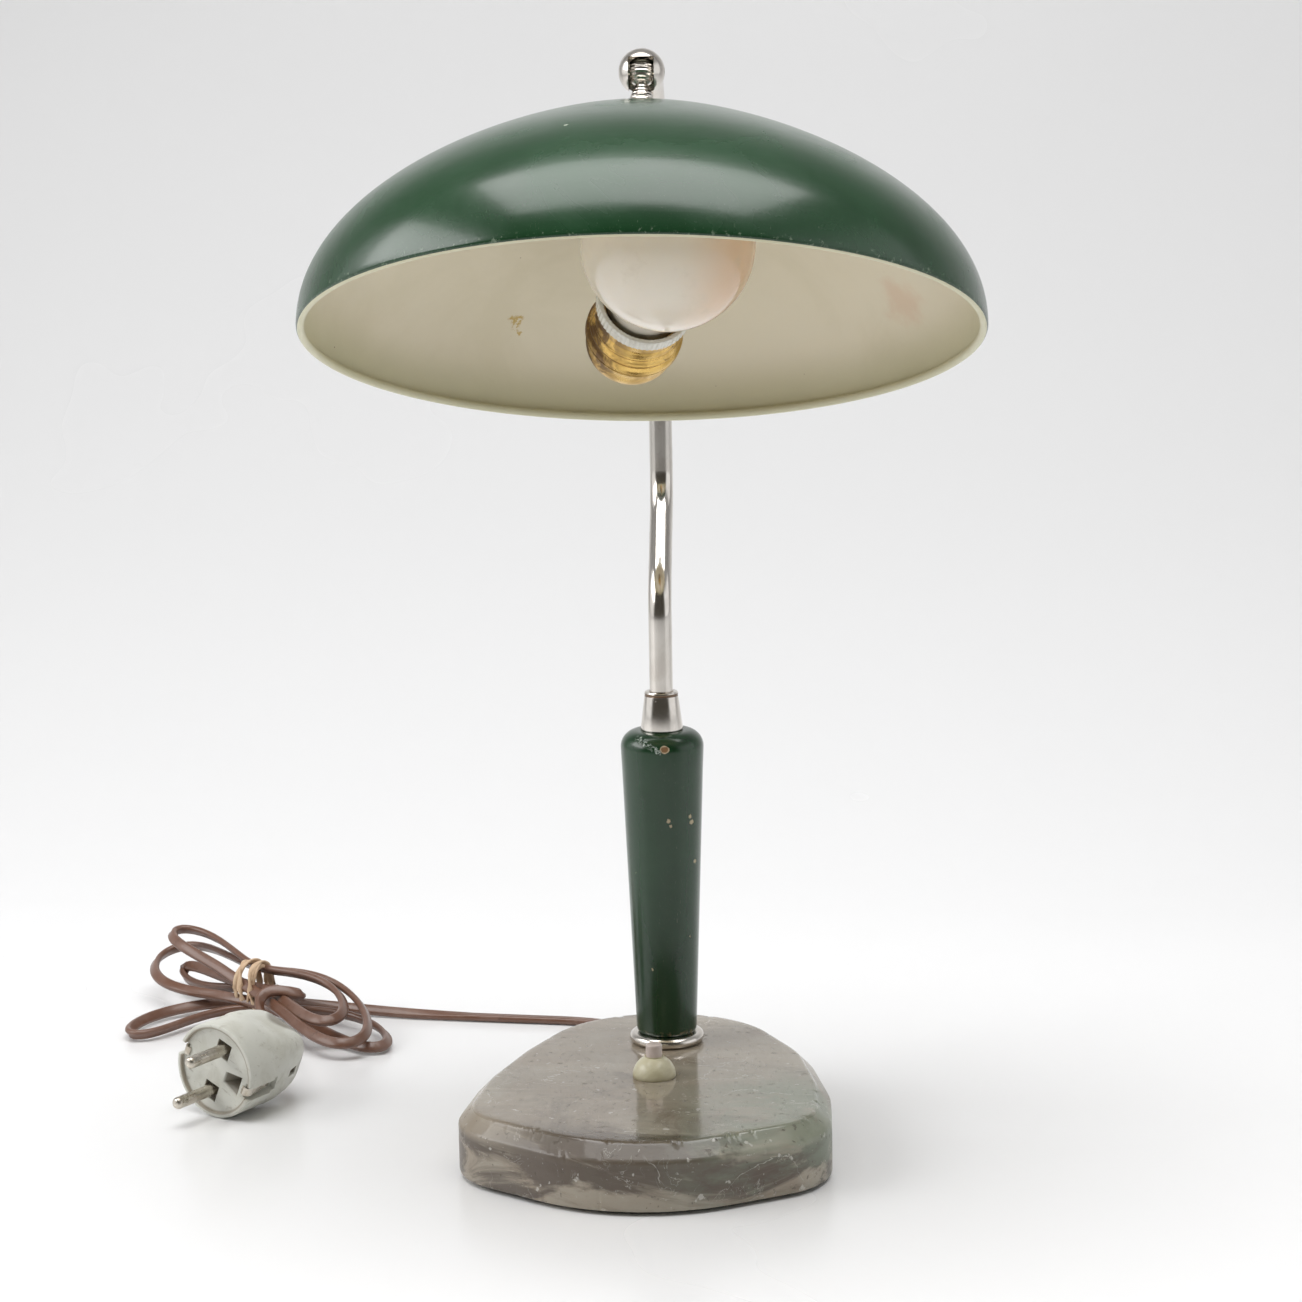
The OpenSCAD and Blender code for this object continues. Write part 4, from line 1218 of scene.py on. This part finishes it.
class LAMP_OT_shade(LampOperator, bpy.types.Operator):
    """Adds the steel shade, green outside and cream inside, with its rolled rim"""

    bl_idname = "lamp.shade"
    bl_label = "Shade"

    def make(self, look):
        outer = [(4.1, -NECK_L)] + shade_curve(0.0)
        bead = arc(SHADE_R - 1.5, RIM_Z, 1.5, 0, -225, 14)[1:]
        inner = list(reversed(shade_curve(1.0)))[1:] + [(4.1, -NECK_L - 1.0)]
        green = len(outer) + 2
        profile = outer + bead + inner
        mesh = lathe("shade", profile, 224, part=lambda row: 0 if row < green else 1, closed=True)
        piece("shade", mesh, AT_NECK, "shade_head",
            [outside_paint(look), inside_paint(look)], ("lamp_shade",), 40.0)


# ---------------------------------------------------------------------------
# Lampholder and bulb
# ---------------------------------------------------------------------------
def milled(angle, _height):
    """Fine teeth round a turned edge."""
    return 0.006 * math.sin(60 * angle)


class LAMP_OT_holder(LampOperator, bpy.types.Operator):
    """Adds the brass lampholder, its porcelain ring and the opal bulb"""

    bl_idname = "lamp.holder"
    bl_label = "Lampholder and bulb"

    def make(self, look):
        brass = Paint("holder_brass", look.brass, 0.24, metal=1.0)
        brass.worn(600.0, 0.00002, 0.2, 150.0, (0.45, 0.28, 0.08), 0.7)
        # Dark tarnish patches, laid on much more on the left side of the holder: real tarnish, with
        # painted shade on the left side.
        tarnish_and_left_shade = brass.noise(90.0, 5.0, 0.65, 0.8)
        left = brass.either(brass.span("X", -2.0, -13.0), brass.mask(tarnish_and_left_shade, 0.62, 0.72))
        tarnish_and_left_shade = brass.both(brass.mask(tarnish_and_left_shade, 0.40, 0.56), left)
        brass.tint(brass.math("MULTIPLY", tarnish_and_left_shade, 0.85), (0.10, 0.055, 0.04))
        brass.roughen(tarnish_and_left_shade, 0.55)
        turned = brass.noise(500.0, 2.0, 0.5, 0.0, brass.stretched((0.05, 0.05, 1.0)))
        brass.raise_by(turned, 0.00003)
        brass = brass.done()
        cap = [(5.0, -77.0), (9.0, -77.0)]
        inner = []
        for k in range(1, 13):
            a = math.radians(90 * k / 12)
            cap.append((9 + 7.2 * math.sin(a), -68.0 - 9 * math.cos(a)))
            inner.append((9 + 6.3 * math.sin(a), -68.0 - 8.1 * math.cos(a)))
        cap += [(16.2, -63.5), (16.5, -63.1), (17.2, -63.0), (17.5, -62.7), (17.5, -62.2),
            (17.2, -62.0), (15.3, -62.0)]
        mesh = lathe("holder_bell", cap + inner[::-1] + [(9.0, -76.1), (5.0, -76.1)], 112, closed=True)
        piece("holder_bell", mesh, AT_BULB, "shade_head", [brass], ("holder_cap",), 40.0)
        shell = [(15.3, -62.0), (17.2, -62.0), (17.5, -61.7), (17.5, -59.5), (17.3, -59.1),
            (16.8, -58.7), (16.6, -58.2), (16.8, -57.7)] + arc(16.4, -56.6, 0.55, -45, 60, 5) + [
            (16.5, -55.4), (16.4, -54.6), (16.0, -54.0)] + arc(15.75, -53.0, 0.55, -45, 60, 5) + [
            (15.95, -51.9), (16.0, -50.3), (15.8, -49.7), (15.5, -49.0), (15.65, -48.5),
            (15.8, -48.1), (15.8, -44.2), (15.5, -44.0), (15.12, -44.0)]
        mesh = lathe("holder_collar", shell, 112, closed=True)
        piece("holder_collar", mesh, AT_BULB, "shade_head", [brass], ("holder_shell",), 40.0)
        china = plain("porcelain", (0.68, 0.67, 0.61), 0.16, coat=0.5, shade=(0.50, 0.47, 0.38))
        china.raise_by(china.noise(60.0, 2.0), 0.00005)
        grime = china.noise(300.0, 5.0, 0.7)
        china.tint(china.mask(grime, 0.58, 0.72, 0.5), (0.22, 0.17, 0.11))
        china = china.done()
        ring = [(14.0, -44.0), (16.8, -44.0), (17.1, -43.7), (17.1, -39.7), (16.9, -39.2),
            (16.5, -39.0), (15.7, -39.0), (15.4, -39.3), (14.2, -43.2)]
        mesh = lathe("porcelain_collar", ring, 480, closed=True, wobble=milled)
        piece("porcelain_collar", mesh, AT_BULB, "shade_head", [china],
            ("porcelain_ring",), 40.0)
        paint_nodes(china, ["porcelain_insert"])
        self.bulb(look)
        warm = plain("contact_brass", (0.60, 0.42, 0.16), 0.35, 1.0).done()
        paint_nodes(warm, ["screw_shell", "centre_contact"])
        cap = plain("cap_metal", (0.62, 0.60, 0.56), 0.30, 1.0).done()
        paint_nodes(cap, ["bulb_cap", "bulb_contact"])
        dark = plain("black_glass", (0.012, 0.010, 0.010), 0.15, 0.0, 0.3).done()
        paint_nodes(dark, ["bulb_insulator"])

    def bulb(self, look):
        """The opal globe and its neck."""
        low = -BULB_R * math.sin(math.radians(BULB_MEETS))
        flare = BULB_R * math.cos(math.radians(BULB_MEETS)) - BULB_NECK_R
        neck = []
        for k in range(15):
            z = -BULB_NECK_FROM + (BULB_NECK_FROM + low) * k / 14
            part = (z + BULB_NECK_FROM) / (BULB_NECK_FROM + low)
            neck.append((BULB_NECK_R + flare * part ** BULB_NECK_POWER, z))
        globe = arc(0, 0, BULB_R, 2 - BULB_MEETS, 88, 65) + [(0.0, BULB_R)]
        mesh = lathe("bulb", [(0.0, -BULB_NECK_FROM)] + neck + globe, 160)
        glass = Paint("opal_glass", look.glass, 0.07, coat=0.4)
        glass.shader.inputs["Coat Roughness"].default_value = 0.04
        glass.shader.inputs["Subsurface Weight"].default_value = 0.25
        glass.shader.inputs["Subsurface Radius"].default_value = (0.012, 0.009, 0.006)
        glass.shader.inputs["Subsurface Scale"].default_value = 1.0
        # Painted warm light: a peach tint laid on the right side of the bulb.
        painted_warm_light = glass.span("X", -4.0, 22.0, 0.75)
        glass.tint(painted_warm_light, (0.68, 0.44, 0.26))
        dust = glass.noise(90.0, 5.0, 0.65)
        glass.tint(glass.mask(dust, 0.55, 0.75, 0.3), (0.56, 0.50, 0.40))
        glass.roughen(glass.mask(dust, 0.5, 0.75), 0.18)
        glass.raise_by(glass.noise(1200.0, 2.0), 0.000006)
        piece("bulb", mesh, AT_BULB, "shade_head", [glass.done()], ("bulb_glass",), 60.0)


# ---------------------------------------------------------------------------
# Switch
# ---------------------------------------------------------------------------
class LAMP_OT_switch(LampOperator, bpy.types.Operator):
    """Adds the ivory dome and the button of the switch"""

    bl_idname = "lamp.switch"
    bl_label = "Switch"

    def make(self, look):
        dome = [(6.2, 26.0), (8.0, 26.0), (8.2, 26.3), (8.15, 27.0)]
        for k in range(1, 15):
            a = math.radians(6 + 74 * k / 14)
            dome.append((0.9 + 7.3 * math.cos(a), 26.3 + 7.9 * math.sin(a)))
        dome += [(3.6, 34.2), (3.3, 34.1), (3.2, 33.8), (3.2, 31.8), (6.2, 30.1)]
        bore = 3.2
        dome = [p for i, p in enumerate(dome) if i < 4 or p[0] >= bore]
        ivory = plain("switch_ivory", (0.66, 0.62, 0.44), 0.30, coat=0.25, shade=(0.50, 0.45, 0.28))
        # Darker towards the bottom of the dome, where it meets the foot.
        ivory.tint(ivory.span("Z", 28.2, 26.2, 0.5), (0.30, 0.25, 0.14))
        mesh = lathe("switch_cover", dome, 96, closed=True)
        piece("switch_cover", mesh, AT_SWITCH, "lamp_base", [ivory.done()],
            ("switch_dome",), 40.0)
        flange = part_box("switch_button")[0][2] / MM
        stalk = [(0.0, flange), (4.3, flange), (4.3, flange + 1.6), (3.1, flange + 1.6), (3.1, 37.7)]
        stalk += arc(2.3, 38.0, 0.8, 0, 90, 6) + [(1.2, 38.84), (0.0, 38.8)]
        rose = plain("switch_button", (0.70, 0.60, 0.56), 0.28, coat=0.3, shade=(0.55, 0.46, 0.40))
        mesh = lathe("button_cap", stalk, 64)
        piece("button_cap", mesh, AT_SWITCH, "button", [rose.done()],
            ("switch_button",), 40.0)
        brown = plain("bakelite", (0.055, 0.030, 0.018), 0.35, coat=0.2)
        paint_nodes(brown.done(), ["switch_body"])
        flex = plain("inner_flex", look.cord, 0.45)
        paint_nodes(flex.done(), ["flex_in_foot"])


# ---------------------------------------------------------------------------
# Stage
# ---------------------------------------------------------------------------
class LAMP_OT_stage(LampOperator, bpy.types.Operator):
    """Adds the white table with its backdrop, and soft studio light"""

    bl_idname = "lamp.stage"
    bl_label = "Stage and light"

    def make(self, look):
        rows = [(-3.0, 0.0), (-1.0, 0.0), (0.0, 0.0), (0.30, 0.0)]
        for k in range(1, 25):
            a = math.radians(90 * k / 24)
            rows.append((0.30 + 0.8 * math.sin(a), 0.8 * (1 - math.cos(a))))
        rows += [(1.1, 1.6), (1.1, 2.6)]
        rings = [[Vector((x, y, z - 0.0001)) for x in (-3.0, 3.0)] for y, z in rows]
        mesh = mesh_of("table", rings, closed=False, caps=(False, False))
        table = bpy.data.objects.new("table", mesh)
        bpy.context.scene.collection.objects.link(table)
        mesh.polygons.foreach_set("use_smooth", [True] * len(mesh.polygons))
        gloss = Paint("table_white", look.floor, 0.22, coat=0.0)
        gloss.roughen(gloss.mask(gloss.noise(3.0, 3.0), 0.4, 0.7), 0.28)
        gloss.raise_by(gloss.noise(300.0, 2.0), 0.00001)
        mesh.materials.append(gloss.done())
        self.surroundings(look)
        bpy.context.scene.view_settings.view_transform = "Standard"
        self.softbox("softbox_top", (0.05, -0.30, 1.35), (0, 0, 0), (1.5, 0.9), look.overhead)
        self.softbox("softbox_left", (-1.3, -0.5, 0.9), (0, -62, 0), (0.6, 1.2), look.overhead * 0.5)

    def surroundings(self, look):
        """White all round, with a darker room behind the camera and a darker roof."""
        world = bpy.data.worlds.new("studio")
        world.use_nodes = True
        tree = world.node_tree
        light = tree.nodes["Background"]
        split = tree.nodes.new("ShaderNodeSeparateXYZ")
        tree.links.new(tree.nodes.new("ShaderNodeTexCoord").outputs["Generated"], split.inputs[0])
        front = tree.nodes.new("ShaderNodeMapRange")
        roof = tree.nodes.new("ShaderNodeMapRange")
        spans = ((front, "Y", (-0.68, -0.40, 0.0, 1.0)), (roof, "Z", (0.35, 0.62, 1.0, 0.30)))
        for node, letter, ends in spans:
            node.interpolation_type = "SMOOTHSTEP"
            for socket, end in zip(list(node.inputs)[1:5], ends):
                socket.default_value = end
            tree.links.new(split.outputs[letter], node.inputs[0])
        both = tree.nodes.new("ShaderNodeMath")
        both.operation = "MULTIPLY"
        tree.links.new(front.outputs[0], both.inputs[0])
        tree.links.new(roof.outputs[0], both.inputs[1])
        mix = tree.nodes.new("ShaderNodeMix")
        mix.data_type = "RGBA"
        tree.links.new(both.outputs[0], mix.inputs[0])
        mix.inputs[6].default_value = (0.07, 0.065, 0.055, 1.0)
        mix.inputs[7].default_value = (0.98, 0.99, 1.0, 1.0)
        tree.links.new(mix.outputs[2], light.inputs["Color"])
        light.inputs["Strength"].default_value = look.sky
        bpy.context.scene.world = world

    def softbox(self, name, at, turned, size, power):
        """One rectangular lamp."""
        data = bpy.data.lights.new(name, "AREA")
        data.shape = "RECTANGLE"
        data.size, data.size_y = size
        data.energy = power
        lamp = bpy.data.objects.new(name, data)
        bpy.context.scene.collection.objects.link(lamp)
        spin = turn(turned[2], "Z") @ turn(turned[1], "Y") @ turn(turned[0], "X")
        lamp.matrix_world = Matrix.Translation(Vector(at)) @ spin


OPERATORS = (
    LAMP_OT_camera,
    LAMP_OT_cord,
    LAMP_OT_foot,
    LAMP_OT_stem,
    LAMP_OT_arm,
    LAMP_OT_shade,
    LAMP_OT_holder,
    LAMP_OT_switch,
    LAMP_OT_stage,
)


class LAMP_PT_panel(bpy.types.Panel):
    """Lists the lamp's settings and its operators"""

    bl_label = "Table lamp"
    bl_idname = "LAMP_PT_panel"
    bl_space_type = "VIEW_3D"
    bl_region_type = "UI"
    bl_category = "Lamp"

    def draw(self, context):
        layout = self.layout
        look = context.scene.lamp
        for name in look.__annotations__:
            layout.prop(look, name)
        for operator in OPERATORS:
            layout.operator(operator.bl_idname)


CLASSES = (LampSettings, *OPERATORS, LAMP_PT_panel)


def register():
    """Registers the classes and the settings."""
    for item in CLASSES:
        bpy.utils.register_class(item)
    bpy.types.Scene.lamp = PointerProperty(type=LampSettings)


def unregister():
    """Takes the settings and the classes away again."""
    del bpy.types.Scene.lamp
    for item in reversed(CLASSES):
        bpy.utils.unregister_class(item)


def main():
    """Builds everything in order."""
    register()
    bpy.ops.lamp.camera()
    bpy.ops.lamp.cord()
    bpy.ops.lamp.foot()
    bpy.ops.lamp.stem()
    bpy.ops.lamp.arm()
    bpy.ops.lamp.shade()
    bpy.ops.lamp.holder()
    bpy.ops.lamp.switch()
    bpy.ops.lamp.stage()


if __name__ == "__main__":
    main()
